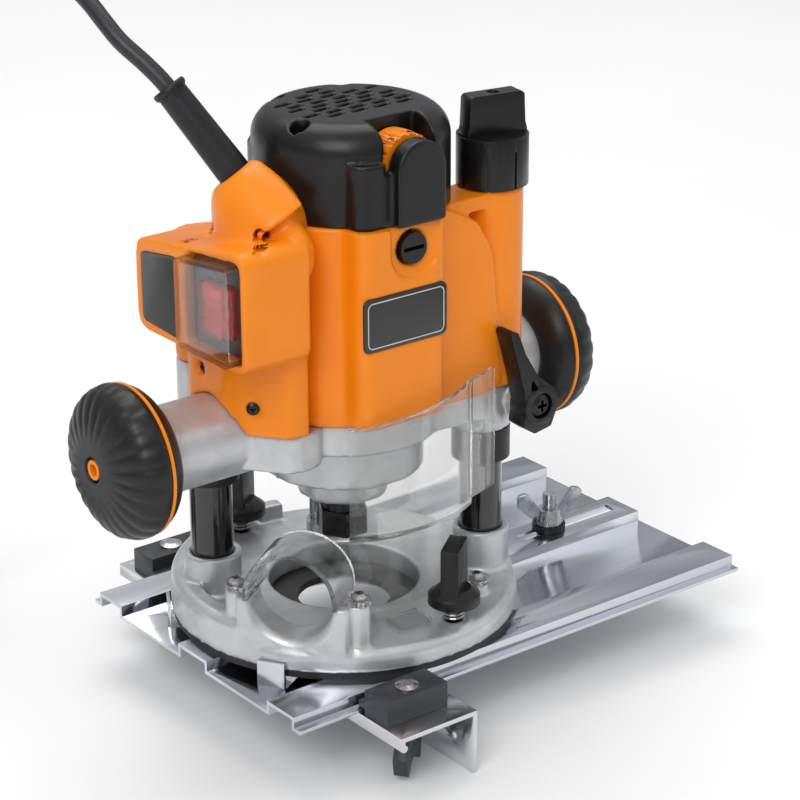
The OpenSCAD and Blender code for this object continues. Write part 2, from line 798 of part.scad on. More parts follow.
// plate across the top of the housing that carries the upper bearing
module bearing_bridge() {
  color("#a9b0aa") difference() {
    union() {
      disc(cavity_r - 0.2, 180, cap_z - 0.1);
      disc(16, 180, 194);
    }
    disc(13, 184, 200);
    disc(7, 170, 200);
    for (a = [45, 135, 225, 315]) rotate([0, 0, a]) translate([26, 0]) disc(6, 170, 190);
  }
}
module spindle() {
  color("#8f9396") disc(6, 42, 198);
}
module collet() {
  color("#a7abae") difference() {
    disc(5.4, 33, 42);
    disc(collet_d / 2, 30, 46);
  }
}
module collet_nut() {
  color("#54585c") difference() {
    union() {
      translate([0, 0, 34]) cylinder(r = 11, h = 11, $fn = 6);
      disc(9, 45, 53);
    }
    disc(5.4, 33, 42);
    disc(6, 41, 54);
  }
}
module brush_holders() {
  color("#b08d3c") translate([0, 0, brush_z]) for (s = [0, 1]) mirror([0, s, 0])
    difference() {
      along_y(7, 13, 42);
      translate([0, 0, 0]) block(-3.2, 3.2, 12, 43, -4.2, 4.2);
    }
}
module carbon_brushes() {
  color("#3a3a3c") translate([0, 0, brush_z]) for (s = [0, 1]) mirror([0, s, 0])
    block(-3, 3, 11.3, 26, -4, 4);
}
module brush_caps() {
  color("#191919") translate([0, 0, brush_z]) for (s = [0, 1]) mirror([0, s, 0])
    difference() {
      along_y(6.4, 42, s > 0 ? 49 : 47);
      block(-5, 5, 45.8, 50, -0.8, 0.8);
    }
}

// ---------- controls on the head ----------

module depth_rod() {
  color("#8f9396") translate(stop_xy) disc(4, 86, 150);
}
module adjust_knob() {
  color("#191919") translate(adjust_xy) difference() {
    union() {
      disc(14.9, tower_top + gap, 204);
      translate([0, 0, 203]) rotate([0, 0, -10]) translate([0, 4.2, 0]) rotate([90, 0, 0])
        linear_extrude(8.4) polygon(rounded([[-14.6, 0], [14.6, 0], [13, 5], [12.4, 18],
          [-12.4, 18], [-13, 5]], 2));
      disc(3.95, 172.5, tower_top + 1);
    }
    disc(2.6, 214, 230);
    for (a = [0 : 45 : 315]) rotate([0, 0, a]) block(14, 16, -0.5, 0.5, 180, 199);
  }
}
module lock_lever() {
  color("#161617") difference() {
    union() {
      front_view([[46.8, 127.5], [51.5, 125.5], [55.5, 115.5], [62.5, 104], [71.5, 96.5],
        [73.5, 88], [70, 80], [61, 78.5], [55, 83], [56.5, 91], [54.5, 101], [51, 114]], 1.6,
        lever_y[0], lever_y[1]);
      translate([lock_xz[0], 0, lock_xz[1]]) along_y(8.8, lever_y[0] - 0.4, lever_y[1]);
    }
    translate([lock_xz[0], 0, lock_xz[1]]) {
      along_y(3 + fit, -60, -40);
      along_y(5.6, -60, -49.8);
    }
    front_view([[58.7, 98], [63, 98], [59.3, 103.5]], 0.6, -60, -40);
  }
}
module lever_screw() {
  color("#6d7072") translate([lock_xz[0], -32, lock_xz[1]]) rotate([90, 0, 0])
    pan_screw(5, 2.9, 17.9);
}
module spindle_lock() {
  color("#161617") translate([0, 0, 58]) {
    along_y(2.5, 11.8, 24);
    along_y(6, 23, 29);
  }
}

// ---------- cord ----------

// point where the boot leaves the hump, and its direction
boot_exit = [-49.2, 1, 199.4];
boot_turn = 127.6;
boot_tilt = 38.6;
boot_dir = [sin(boot_tilt) * cos(boot_turn), sin(boot_tilt) * sin(boot_turn), cos(boot_tilt)];
boot_r = 6.9;
module boot_way() {
  translate(boot_exit) rotate([0, 0, boot_turn]) rotate([0, boot_tilt, 0]) children();
}
module cord_boot() {
  color("#161617") boot_way() difference() {
    union() {
      translate([0, 0, -8]) cylinder(r = boot_r, h = 12);
      translate([0, 0, 4]) cylinder(r1 = boot_r, r2 = boot_r - 0.7, h = 38);
      translate([0, 0, 41]) cylinder(r = 7.2, h = 2.5);
    }
    translate([0, 0, -9]) cylinder(r = cord_d / 2, h = 60);
  }
}
// the cord's middle line: the first list rises from the boot with the head, the second
// comes down beside the router and lies on the surface as far as the coil
cord_start = boot_exit - 7 * boot_dir;
cord_rise = [
  cord_start, boot_exit + 18 * boot_dir, boot_exit + 42 * boot_dir, [-70, 30, 241],
  [-75, 40, 249], [-77, 49, 256], [-78, 60, 263], [-80, 80, 272], [-85, 104, 278]
];
cord_fall = [
  [-85.3, 105.2, 278.1], [-91, 124, 277.5], [-96, 139, 267], [-99, 148, 246], [-100, 151, 205],
  [-100, 151, 150], [-100, 152, 95], [-99, 153, 50], [-97, 156, 16], [-95.5, 164, -10],
  [-94, 178, -25], [-93.3, 196, -30.5], [-94.7, 215.5, -30.5]
];
function catmull(p0, p1, p2, p3, t) = 0.5 * (
  2 * p1 + (p2 - p0) * t + (2 * p0 - 5 * p1 + 4 * p2 - p3) * t * t
  + (3 * p1 - p0 - 3 * p2 + p3) * t * t * t
);
function smooth_path(p, n) =
  let (k = len(p))
  concat(
    [for (i = [0 : k - 2], j = [0 : n - 1])
      catmull(p[max(0, i - 1)], p[i], p[i + 1], p[min(k - 1, i + 2)], j / n)],
    [p[k - 1]]
  );
function tube_points(p, r, s) =
  [for (i = [0 : len(p) - 1], j = [0 : s - 1])
    let (
      t = unit(p[min(len(p) - 1, i + 1)] - p[max(0, i - 1)]),
      side = unit(cross(t, [0.8, 0.6, 0])),
      up = cross(side, t),
      a = 360 * j / s
    )
    p[i] + r * (cos(a) * side + sin(a) * up)];
module cord_tube(path) {
  sides = 10;
  line = smooth_path(path, 3);
  color("#1a1a1b") polyhedron(
    points = tube_points(line, cord_d / 2, sides),
    faces = strip_faces(len(line) - 1, sides)
  );
}
module cord() {
  cord_tube(cord_rise);
}
module cord_tail() {
  cord_tube(cord_fall);
}
// the turns of spare cord, as one closed ring with the end that leads to the plug
coil_xy = [-136.5, 212];
coil_r = 35;
coil_low = -34;
lead_angle = 190;
lead_l = 28;
lead_z = -17;
// along the straight end of the cord, which leaves the outermost turn
module plug_way() {
  r = coil_r + cord_d;
  translate([coil_xy[0] + r * cos(lead_angle), coil_xy[1] + r * sin(lead_angle), lead_z])
    rotate([0, 0, lead_angle + 90]) rotate([0, 90, 0]) children();
}
module cord_coil() {
  color("#1a1a1b") {
    translate([coil_xy[0], coil_xy[1], coil_low]) rotate_extrude() translate([coil_r, 0])
      polygon(rounded([[-11, 0], [11, 0], [11, 21.5], [-11, 21.5]], 5));
    plug_way() cylinder(r = cord_d / 2, h = lead_l);
  }
}
module plug() {
  color("#161617") plug_way() {
    translate([0, 0, lead_l]) cylinder(r1 = 4.6, r2 = 7, h = 26);
    translate([0, 0, lead_l + 26]) cylinder(r1 = 9, r2 = 16.5, h = 22);
    translate([0, 0, lead_l + 48]) cylinder(r = 17, h = 15);
  }
}
module plug_pins() {
  color("#c9ccce") plug_way() for (s = [-1, 1])
    translate([0, s * 9.5, lead_l + 63]) cylinder(r = 2.4, h = 19);
}

base_casting();
sole_plate();
guide_columns();
chip_hood();
hood_screws();
hand_screw_front();
hand_screw_rear();
hand_springs();
depth_turret();
guide_plate();
pin_stud();
pin_washer();
wing_nut();
fence();
clamp_blocks();
fence_bolts();
fence_knob_front();
fence_knob_rear();
motor_bracket();
wiper_rings();
plunge_springs();
knob_left();
knob_right();
knob_rings();
knob_bolts();
switch_housing();
motor_housing();
motor_cap();
cap_screws();
body_screws();
badge_plate();
rating_plate();
switch_body();
switch_rocker();
switch_boot();
speed_dial();
speed_board();
brush_holders();
brush_caps();
carbon_brushes();
stator();
bearings();
bearing_bridge();
spindle();
armature();
commutator();
cooling_fan();
collet();
collet_nut();
depth_rod();
adjust_knob();
lock_lever();
lever_screw();
spindle_lock();
cord_boot();
cord();
cord_tail();
cord_coil();
plug();
plug_pins();
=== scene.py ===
"""Looks of a plunge router that stands on a corrugated guide plate with a sliding fence.

Every length in the dataclasses is in metres, in the frame of the CAD model: +Z is up, +X runs
along the two handles and the front of the router faces -Y.
"""

import logging
import math
from dataclasses import dataclass, field
from enum import Enum
from typing import Callable, Sequence

import bmesh
import bpy
from mathutils import Matrix, Vector


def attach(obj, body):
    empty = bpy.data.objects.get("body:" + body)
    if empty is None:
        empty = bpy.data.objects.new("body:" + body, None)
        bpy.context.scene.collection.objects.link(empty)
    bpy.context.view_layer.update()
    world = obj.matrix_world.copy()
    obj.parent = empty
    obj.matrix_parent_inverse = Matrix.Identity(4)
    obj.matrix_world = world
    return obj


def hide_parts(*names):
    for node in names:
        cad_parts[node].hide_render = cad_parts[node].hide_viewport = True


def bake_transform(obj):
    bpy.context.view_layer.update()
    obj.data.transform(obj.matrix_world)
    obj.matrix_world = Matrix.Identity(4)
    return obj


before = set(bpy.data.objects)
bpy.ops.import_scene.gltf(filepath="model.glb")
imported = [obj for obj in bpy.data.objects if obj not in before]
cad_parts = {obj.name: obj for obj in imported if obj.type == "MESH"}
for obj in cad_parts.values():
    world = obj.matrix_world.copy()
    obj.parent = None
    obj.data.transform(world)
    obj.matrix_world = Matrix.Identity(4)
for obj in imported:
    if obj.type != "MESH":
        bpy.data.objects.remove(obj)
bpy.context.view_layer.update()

log = logging.getLogger("router")
MM = 0.001
Point = tuple[float, float, float]
MADE: dict[str, bpy.types.Material] = {}


# ---------------------------------------------------------------- finishes


class Grain(Enum):
    """Kind of fine surface relief that a finish carries."""

    SPARK = "fine spark-eroded mould grain"
    SAND = "coarse sand-blasted or cast grain"
    DRAWN = "lines along the rolling direction"
    PLAIN = "very slight unevenness only"


@dataclass(frozen=True)
class Finish:
    """One surface finish, built as a node material on Object coordinates.

    Attributes:
        name: Name of the material.
        colour: Linear base colour.
        shade: Linear colour of the faint patches that vary the base colour.
        roughness: Mean roughness.
        spread: How far the roughness wanders either side of the mean.
        metallic: Metalness, 0 or 1, or between for a metallic paint.
        coat: Weight of the clear gloss over the finish.
        grain: Kind of relief.
        pitch: Size of one grain, in metres.
        height: Strength of the relief.
        patch: Size of the colour patches, in metres.
        specular: Strength of the plain surface reflection.
    """

    name: str
    colour: Point
    shade: Point
    roughness: float = 0.4
    spread: float = 0.06
    metallic: float = 0.0
    coat: float = 0.0
    grain: Grain = Grain.SPARK
    pitch: float = 0.0006
    height: float = 0.12
    patch: float = 0.02
    specular: float = 0.5

    def build(self) -> bpy.types.Material:
        """Make the material, or return it when it exists already.

        Returns:
            The node material.
        """
        if self.name in MADE:
            return MADE[self.name]
        material = bpy.data.materials.new(self.name + "_finish")
        MADE[self.name] = material
        material.use_nodes = True
        tree = material.node_tree
        shader = tree.nodes["Principled BSDF"]
        shader.inputs["Metallic"].default_value = self.metallic
        shader.inputs["Coat Weight"].default_value = self.coat
        shader.inputs["Coat Roughness"].default_value = 0.12
        shader.inputs["Specular IOR Level"].default_value = self.specular
        where = tree.nodes.new("ShaderNodeTexCoord")
        place = tree.nodes.new("ShaderNodeMapping")
        stretch = (0.04, 1.0, 1.0) if self.grain is Grain.DRAWN else (1.0, 1.0, 1.0)
        place.inputs["Scale"].default_value = stretch
        tree.links.new(where.outputs["Object"], place.inputs["Vector"])
        self._colour(tree, place, shader)
        self._relief(tree, place, shader)
        return material

    def _colour(self, tree: bpy.types.NodeTree, place: bpy.types.Node, shader: bpy.types.Node) -> None:
        """Vary the colour and the roughness with broad soft noise.

        Args:
            tree: Tree to build in.
            place: Node that gives the coordinates.
            shader: The surface shader.
        """
        patches = tree.nodes.new("ShaderNodeTexNoise")
        patches.inputs["Scale"].default_value = 1.0 / self.patch
        patches.inputs["Detail"].default_value = 3.0
        ramp = tree.nodes.new("ShaderNodeValToRGB")
        ramp.color_ramp.elements[0].position = 0.35
        ramp.color_ramp.elements[1].position = 0.68
        ramp.color_ramp.elements[0].color = (*self.shade, 1.0)
        ramp.color_ramp.elements[1].color = (*self.colour, 1.0)
        tree.links.new(place.outputs["Vector"], patches.inputs["Vector"])
        tree.links.new(patches.outputs["Fac"], ramp.inputs["Fac"])
        tree.links.new(ramp.outputs["Color"], shader.inputs["Base Color"])
        sheen = tree.nodes.new("ShaderNodeTexNoise")
        sheen.inputs["Scale"].default_value = 2.7 / self.patch
        sheen.inputs["Detail"].default_value = 4.0
        limits = tree.nodes.new("ShaderNodeMapRange")
        limits.inputs["From Min"].default_value = 0.3
        limits.inputs["From Max"].default_value = 0.7
        limits.inputs["To Min"].default_value = max(0.02, self.roughness - self.spread)
        limits.inputs["To Max"].default_value = min(1.0, self.roughness + self.spread)
        tree.links.new(place.outputs["Vector"], sheen.inputs["Vector"])
        tree.links.new(sheen.outputs["Fac"], limits.inputs["Value"])
        tree.links.new(limits.outputs["Result"], shader.inputs["Roughness"])

    def _relief(self, tree: bpy.types.NodeTree, place: bpy.types.Node, shader: bpy.types.Node) -> None:
        """Raise the grain as a bump.

        Args:
            tree: Tree to build in.
            place: Node that gives the coordinates.
            shader: The surface shader.
        """
        grain = tree.nodes.new("ShaderNodeTexNoise")
        grain.inputs["Scale"].default_value = 1.0 / self.pitch
        grain.inputs["Detail"].default_value = 2.0 if self.grain is Grain.PLAIN else 5.0
        bump = tree.nodes.new("ShaderNodeBump")
        bump.inputs["Strength"].default_value = self.height
        bump.inputs["Distance"].default_value = self.pitch * 0.3
        tree.links.new(place.outputs["Vector"], grain.inputs["Vector"])
        tree.links.new(grain.outputs["Fac"], bump.inputs["Height"])
        tree.links.new(bump.outputs["Normal"], shader.inputs["Normal"])


@dataclass(frozen=True)
class ClearPlastic:
    """A clear moulded plastic, lightly tinted.

    Attributes:
        name: Name of the material.
        tint: Linear colour of the plastic.
        ior: Index of refraction.
        roughness: Roughness of its faces.
        opacity: Share of the surface that shows as plastic, not as plain see-through.
    """

    name: str
    tint: Point = (0.93, 0.95, 0.95)
    ior: float = 1.42
    roughness: float = 0.05
    opacity: float = 0.85

    def build(self) -> bpy.types.Material:
        """Make the material, or return it when it exists already.

        Returns:
            The node material.
        """
        if self.name in MADE:
            return MADE[self.name]
        material = bpy.data.materials.new(self.name + "_finish")
        MADE[self.name] = material
        material.use_nodes = True
        tree = material.node_tree
        shader = tree.nodes["Principled BSDF"]
        shader.inputs["Transmission Weight"].default_value = 1.0
        shader.inputs["IOR"].default_value = self.ior
        shader.inputs["Alpha"].default_value = self.opacity
        where = tree.nodes.new("ShaderNodeTexCoord")
        cloud = tree.nodes.new("ShaderNodeTexNoise")
        cloud.inputs["Scale"].default_value = 40.0
        cloud.inputs["Detail"].default_value = 3.0
        ramp = tree.nodes.new("ShaderNodeValToRGB")
        red, green, blue = self.tint
        ramp.color_ramp.elements[0].color = (red * 0.94, green * 0.93, blue * 0.9, 1.0)
        ramp.color_ramp.elements[1].color = (*self.tint, 1.0)
        haze = tree.nodes.new("ShaderNodeMapRange")
        haze.inputs["To Min"].default_value = self.roughness * 0.5
        haze.inputs["To Max"].default_value = self.roughness * 1.8
        tree.links.new(where.outputs["Object"], cloud.inputs["Vector"])
        tree.links.new(cloud.outputs["Fac"], ramp.inputs["Fac"])
        tree.links.new(cloud.outputs["Fac"], haze.inputs["Value"])
        tree.links.new(ramp.outputs["Color"], shader.inputs["Base Color"])
        tree.links.new(haze.outputs["Result"], shader.inputs["Roughness"])
        return material


ORANGE = Finish(
    "orange_shell", colour=(0.90, 0.250, 0.0045), shade=(0.86, 0.228, 0.0035), roughness=0.33,
    spread=0.05, coat=0.05, pitch=0.0005, height=0.10, specular=0.32,
)
ORANGE_TRIM = Finish(
    "orange_trim", colour=(0.90, 0.27, 0.006), shade=(0.82, 0.22, 0.004), roughness=0.38,
    spread=0.05, pitch=0.0004, height=0.08, specular=0.35,
)
CAP_BLACK = Finish(
    "cap_black", colour=(0.0065, 0.0065, 0.0068), shade=(0.0045, 0.0045, 0.0048), roughness=0.33,
    pitch=0.0005, height=0.16, specular=0.36,
)
GRIP_BLACK = Finish(
    "grip_black", colour=(0.007, 0.007, 0.0072), shade=(0.005, 0.005, 0.0052), roughness=0.40,
    spread=0.07, grain=Grain.SAND, pitch=0.0007, specular=0.42,
)
RUBBER = Finish(
    "soft_rubber", colour=(0.009, 0.0095, 0.011), shade=(0.006, 0.006, 0.007), roughness=0.45,
    grain=Grain.PLAIN, pitch=0.0009, height=0.1, specular=0.4,
)
CORD_BLACK = Finish(
    "cord_sheath", colour=(0.020, 0.021, 0.024), shade=(0.013, 0.013, 0.015), roughness=0.42,
    grain=Grain.PLAIN, pitch=0.0012,
)
COLUMN_BLACK = Finish(
    "column_black", colour=(0.006, 0.006, 0.007), shade=(0.004, 0.004, 0.005), roughness=0.14,
    spread=0.04, coat=0.6, grain=Grain.PLAIN, pitch=0.002, height=0.02,
)
CAST = Finish(
    "cast_silver", colour=(0.60, 0.61, 0.62), shade=(0.50, 0.51, 0.525), roughness=0.36,
    spread=0.07, metallic=0.55, coat=0.08, grain=Grain.SAND, pitch=0.0009, height=0.2, patch=0.012,
)
# The darker, bluer streaks that the stretched colour noise draws along X on this sheet are painted
# reflection bands of the mirror-like plate, not a colour of the zinc.
ZINC_WITH_PAINTED_REFLECTION = Finish(
    "zinc_sheet_painted_reflection", colour=(0.76, 0.78, 0.82), shade=(0.56, 0.58, 0.63), roughness=0.15, metallic=1.0,
    grain=Grain.DRAWN, pitch=0.0012, height=0.05, patch=0.03,
)
FENCE_ZINC = Finish(
    "zinc_fence", colour=(0.74, 0.755, 0.77), shade=(0.64, 0.66, 0.69), roughness=0.21,
    metallic=1.0, grain=Grain.DRAWN, pitch=0.0011, height=0.05, patch=0.025,
)
STEEL = Finish(
    "bright_steel", colour=(0.56, 0.57, 0.59), shade=(0.40, 0.41, 0.43), roughness=0.27,
    spread=0.07, metallic=1.0, grain=Grain.PLAIN, pitch=0.0008, height=0.08, patch=0.004,
)
SPRING = Finish(
    "spring_steel", colour=(0.50, 0.50, 0.49), shade=(0.36, 0.36, 0.36), roughness=0.32,
    spread=0.08, metallic=1.0, grain=Grain.PLAIN, height=0.1, patch=0.003,
)
SLATE = Finish(
    "slate_moulding", colour=(0.034, 0.038, 0.045), shade=(0.024, 0.027, 0.033), roughness=0.42,
    height=0.14,
)
SOLE = Finish(
    "sole_laminate", colour=(0.014, 0.014, 0.014), shade=(0.009, 0.009, 0.009), roughness=0.5,
    grain=Grain.SAND, height=0.1,
)
PLATE_BLACK = Finish(
    "plate_black", colour=(0.014, 0.014, 0.015), shade=(0.010, 0.010, 0.011), roughness=0.33,
    spread=0.04, coat=0.1, grain=Grain.PLAIN, height=0.05,
)
PLATE_LINE = Finish(
    "plate_line", colour=(0.62, 0.60, 0.56), shade=(0.52, 0.50, 0.47), spread=0.04,
    grain=Grain.PLAIN, height=0.04, patch=0.006,
)
RED = Finish(
    "rocker_red", colour=(0.62, 0.016, 0.010), shade=(0.45, 0.010, 0.006), roughness=0.22,
    spread=0.05, coat=0.4, grain=Grain.PLAIN, pitch=0.001, height=0.04, patch=0.006,
)
BOARD = Finish(
    "board_green", colour=(0.035, 0.14, 0.05), shade=(0.02, 0.09, 0.03), roughness=0.5, coat=0.1,
    grain=Grain.PLAIN, pitch=0.0008, height=0.06, patch=0.004,
)
IRON = Finish(
    "laminated_iron", colour=(0.16, 0.16, 0.17), shade=(0.09, 0.09, 0.10), roughness=0.45,
    spread=0.08, metallic=0.8, grain=Grain.DRAWN, height=0.2, patch=0.004,
)
COPPER = Finish(
    "winding_copper", colour=(0.48, 0.16, 0.06), shade=(0.32, 0.09, 0.03), roughness=0.33,
    spread=0.07, metallic=0.9, grain=Grain.DRAWN, pitch=0.0005, height=0.25, patch=0.003,
)
BRASS = Finish(
    "turned_brass", colour=(0.62, 0.42, 0.14), shade=(0.50, 0.32, 0.10), roughness=0.28,
    metallic=1.0, grain=Grain.PLAIN, pitch=0.0007, height=0.08, patch=0.004,
)
CARBON = Finish(
    "brush_carbon", colour=(0.02, 0.02, 0.02), shade=(0.012, 0.012, 0.012), roughness=0.7,
    spread=0.08, grain=Grain.SAND, pitch=0.0005, height=0.3, patch=0.003,
)
NUT = Finish(
    "blackened_nut", colour=(0.05, 0.05, 0.052), shade=(0.03, 0.03, 0.032), roughness=0.3,
    metallic=0.9, grain=Grain.PLAIN, pitch=0.0007, height=0.1, patch=0.004,
)
CLEAR_HOOD = ClearPlastic("clear_hood")
CLEAR_BOOT = ClearPlastic(
    "clear_boot", tint=(0.96, 0.91, 0.88), ior=1.3, roughness=0.035, opacity=0.6,
)

AnyFinish = Finish | ClearPlastic


# ---------------------------------------------------------------- mesh tools


def node_copy(name: str, *nodes: str) -> bpy.types.Object:
    """Copy CAD nodes into one new piece with its doubled corners merged.

    Args:
        name: Name of the new piece.
        *nodes: The CAD nodes to copy.

    Returns:
        The new object, at the origin.
    """
    work = bmesh.new()
    for node in nodes:
        work.from_mesh(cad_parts[node].data)
    bmesh.ops.remove_doubles(work, verts=work.verts, dist=2e-6)
    bmesh.ops.dissolve_degenerate(work, edges=work.edges, dist=1e-7)
    mesh = bpy.data.meshes.new(name)
    work.to_mesh(mesh)
    work.free()
    piece = bpy.data.objects.new(name, mesh)
    bpy.context.scene.collection.objects.link(piece)
    return piece


def bake(piece: bpy.types.Object) -> bpy.types.Object:
    """Turn the modifiers of a piece into plain mesh and remove them.

    Args:
        piece: The object to settle.

    Returns:
        The same object, with no modifiers left.
    """
    graph = bpy.context.evaluated_depsgraph_get()
    graph.update()
    made = bpy.data.meshes.new_from_object(piece.evaluated_get(graph), depsgraph=graph)
    piece.modifiers.clear()
    old = piece.data
    piece.data = made
    if old.users == 0 and isinstance(old, bpy.types.Mesh):
        bpy.data.meshes.remove(old)
    return piece


def dress(piece: bpy.types.Object, finish: AnyFinish, smooth: bool = True) -> None:
    """Give a piece one finish all over.

    Args:
        piece: The object to dress.
        finish: Its finish.
        smooth: Whether its faces are shaded smooth.
    """
    piece.data.materials.clear()
    piece.data.materials.append(finish.build())
    for face in piece.data.polygons:
        face.use_smooth = smooth
        face.material_index = 0


def moulded(
    name: str,
    nodes: Sequence[str],
    voxel: float,
    passes: int,
    melt: tuple[Point, float, int] | None = None,
    domes: Sequence[tuple[Point, Point]] = (),
) -> bpy.types.Object:
    """Rebuild CAD nodes as one moulded or cast shell with soft rounded edges.

    Args:
        name: Name of the new piece.
        nodes: The CAD nodes that it stands for.
        voxel: Size of the remesh, in metres.
        passes: Number of smoothing passes, which set how soft the edges are.
        melt: Centre, radius and extra passes of a region that is rounded further.
        domes: Centre and three radii of each rounded dome that is moulded on.

    Returns:
        The new piece.
    """
    piece = node_copy(name, *nodes)
    for centre, radii in domes:
        work = bmesh.new()
        work.from_mesh(piece.data)
        place = Matrix.Translation(centre) @ Matrix.Diagonal((*radii, 1.0))
        bmesh.ops.create_icosphere(work, subdivisions=4, radius=1.0, matrix=place)
        work.to_mesh(piece.data)
        work.free()
    remesh = piece.modifiers.new("shell", "REMESH")
    remesh.mode = "VOXEL"
    remesh.voxel_size = voxel
    remesh.use_smooth_shade = True
    soften = piece.modifiers.new("edges", "SMOOTH")
    soften.factor = 0.5
    soften.iterations = passes
    bake(piece)
    if melt:
        centre, reach, extra = Vector(melt[0]), melt[1], melt[2]
        group = piece.vertex_groups.new(name="melt")
        for vertex in piece.data.vertices:
            weight = min(1.0, max(0.0, 1.6 - 1.6 * (vertex.co - centre).length / reach))
            if weight > 0.0:
                group.add([vertex.index], weight, "REPLACE")
        round_off = piece.modifiers.new("melt", "SMOOTH")
        round_off.factor = 0.5
        round_off.iterations = extra
        round_off.vertex_group = "melt"
        bake(piece)
        piece.vertex_groups.clear()
    return piece


def press_hole(
    piece: bpy.types.Object, mouth: Point, way: Point, radius: float = 2.9 * MM, depth: float = 6 * MM
) -> None:
    """Press a deep round screw hole into a moulded shell.

    Args:
        piece: The shell.
        mouth: Point near the hole's mouth.
        way: Direction out of the hole.
        radius: Radius of the hole.
        depth: How deep the hole goes.
    """
    out = Vector(way).normalized()
    for vertex in piece.data.vertices:
        rel = vertex.co - Vector(mouth)
        along = rel.dot(out)
        aside = (rel - out * along).length
        if aside < radius and along > -3 * MM and vertex.normal.dot(out) > 0.2:
            vertex.co -= out * depth


def eased(name: str, node: str, width: float, segments: int = 2, angle: float = 32.0) -> bpy.types.Object:
    """Copy a CAD node with its sharp edges broken by a small bevel.

    Args:
        name: Name of the new piece.
        node: The CAD node that it stands for.
        width: Width of the bevel, in metres.
        segments: Steps across the bevel.
        angle: Smallest angle between faces that counts as an edge, in degrees.

    Returns:
        The new piece.
    """
    piece = node_copy(name, node)
    work = bmesh.new()
    work.from_mesh(piece.data)
    bmesh.ops.dissolve_limit(work, angle_limit=math.radians(0.6), verts=work.verts, edges=work.edges)
    work.to_mesh(piece.data)
    work.free()
    bevel = piece.modifiers.new("edges", "BEVEL")
    bevel.width = width
    bevel.segments = segments
    bevel.limit_method = "ANGLE"
    bevel.angle_limit = math.radians(angle)
    bevel.use_clamp_overlap = True
    bevel.harden_normals = True
    for face in piece.data.polygons:
        face.use_smooth = True
    return bake(piece)


def mesh_piece(
    name: str, points: Sequence[Sequence[float]], faces: Sequence[Sequence[int]]
) -> bpy.types.Object:
    """Make an object from points and faces.

    Args:
        name: Name of the piece.
        points: Its corners, in metres.
        faces: Its faces, as corner numbers.

    Returns:
        The new object, at the origin.
    """
    mesh = bpy.data.meshes.new(name)
    mesh.from_pydata([tuple(p) for p in points], [], [tuple(f) for f in faces])
    mesh.validate()
    work = bmesh.new()
    work.from_mesh(mesh)
    bmesh.ops.recalc_face_normals(work, faces=work.faces)
    work.to_mesh(mesh)
    work.free()
    piece = bpy.data.objects.new(name, mesh)
    bpy.context.scene.collection.objects.link(piece)
    return piece


def tube(name: str, line: Sequence[Vector], radius: float, sides: int) -> bpy.types.Object:
    """Sweep a round section along a line, with closed ends.

    Args:
        name: Name of the piece.
        line: The middle line, one point for each ring.
        radius: Radius of the section.
        sides: Corners of each ring.

    Returns:
        The new object.
    """
    points: list[Vector] = []
    heading = (line[1] - line[0]).normalized()
    side = heading.cross(Vector((0.8, 0.6, 0.0))).normalized()
    last = len(line) - 1
    for i, centre in enumerate(line):
        ahead = (line[min(last, i + 1)] - line[max(0, i - 1)]).normalized()
        side = (side - ahead * side.dot(ahead)).normalized()
        up = ahead.cross(side)
        for j in range(sides):
            turn = 2 * math.pi * j / sides
            points.append(centre + radius * (math.cos(turn) * side + math.sin(turn) * up))
    faces: list[list[int]] = []
    for i in range(last):
        for j in range(sides):
            a, b = i * sides + j, i * sides + (j + 1) % sides
            faces.append([a, b, b + sides, a + sides])
    faces.append(list(range(sides))[::-1])
    faces.append([last * sides + j for j in range(sides)])
    return mesh_piece(name, points, faces)


def settle(piece: bpy.types.Object, body: str, slot: str, *nodes: str) -> None:
    """Put a finished piece on its body, in place of the CAD nodes that it stands for.

    Args:
        piece: The finished piece.
        body: Name of the body that it moves with.
        slot: The record's material slot; not used.
        *nodes: CAD nodes that it replaces.
    """
    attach(piece, body)
    if nodes:
        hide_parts(*nodes)
    log.info("%s on %s: %d faces", piece.name, body, len(piece.data.polygons))


# ---------------------------------------------------------------- geometry node trees


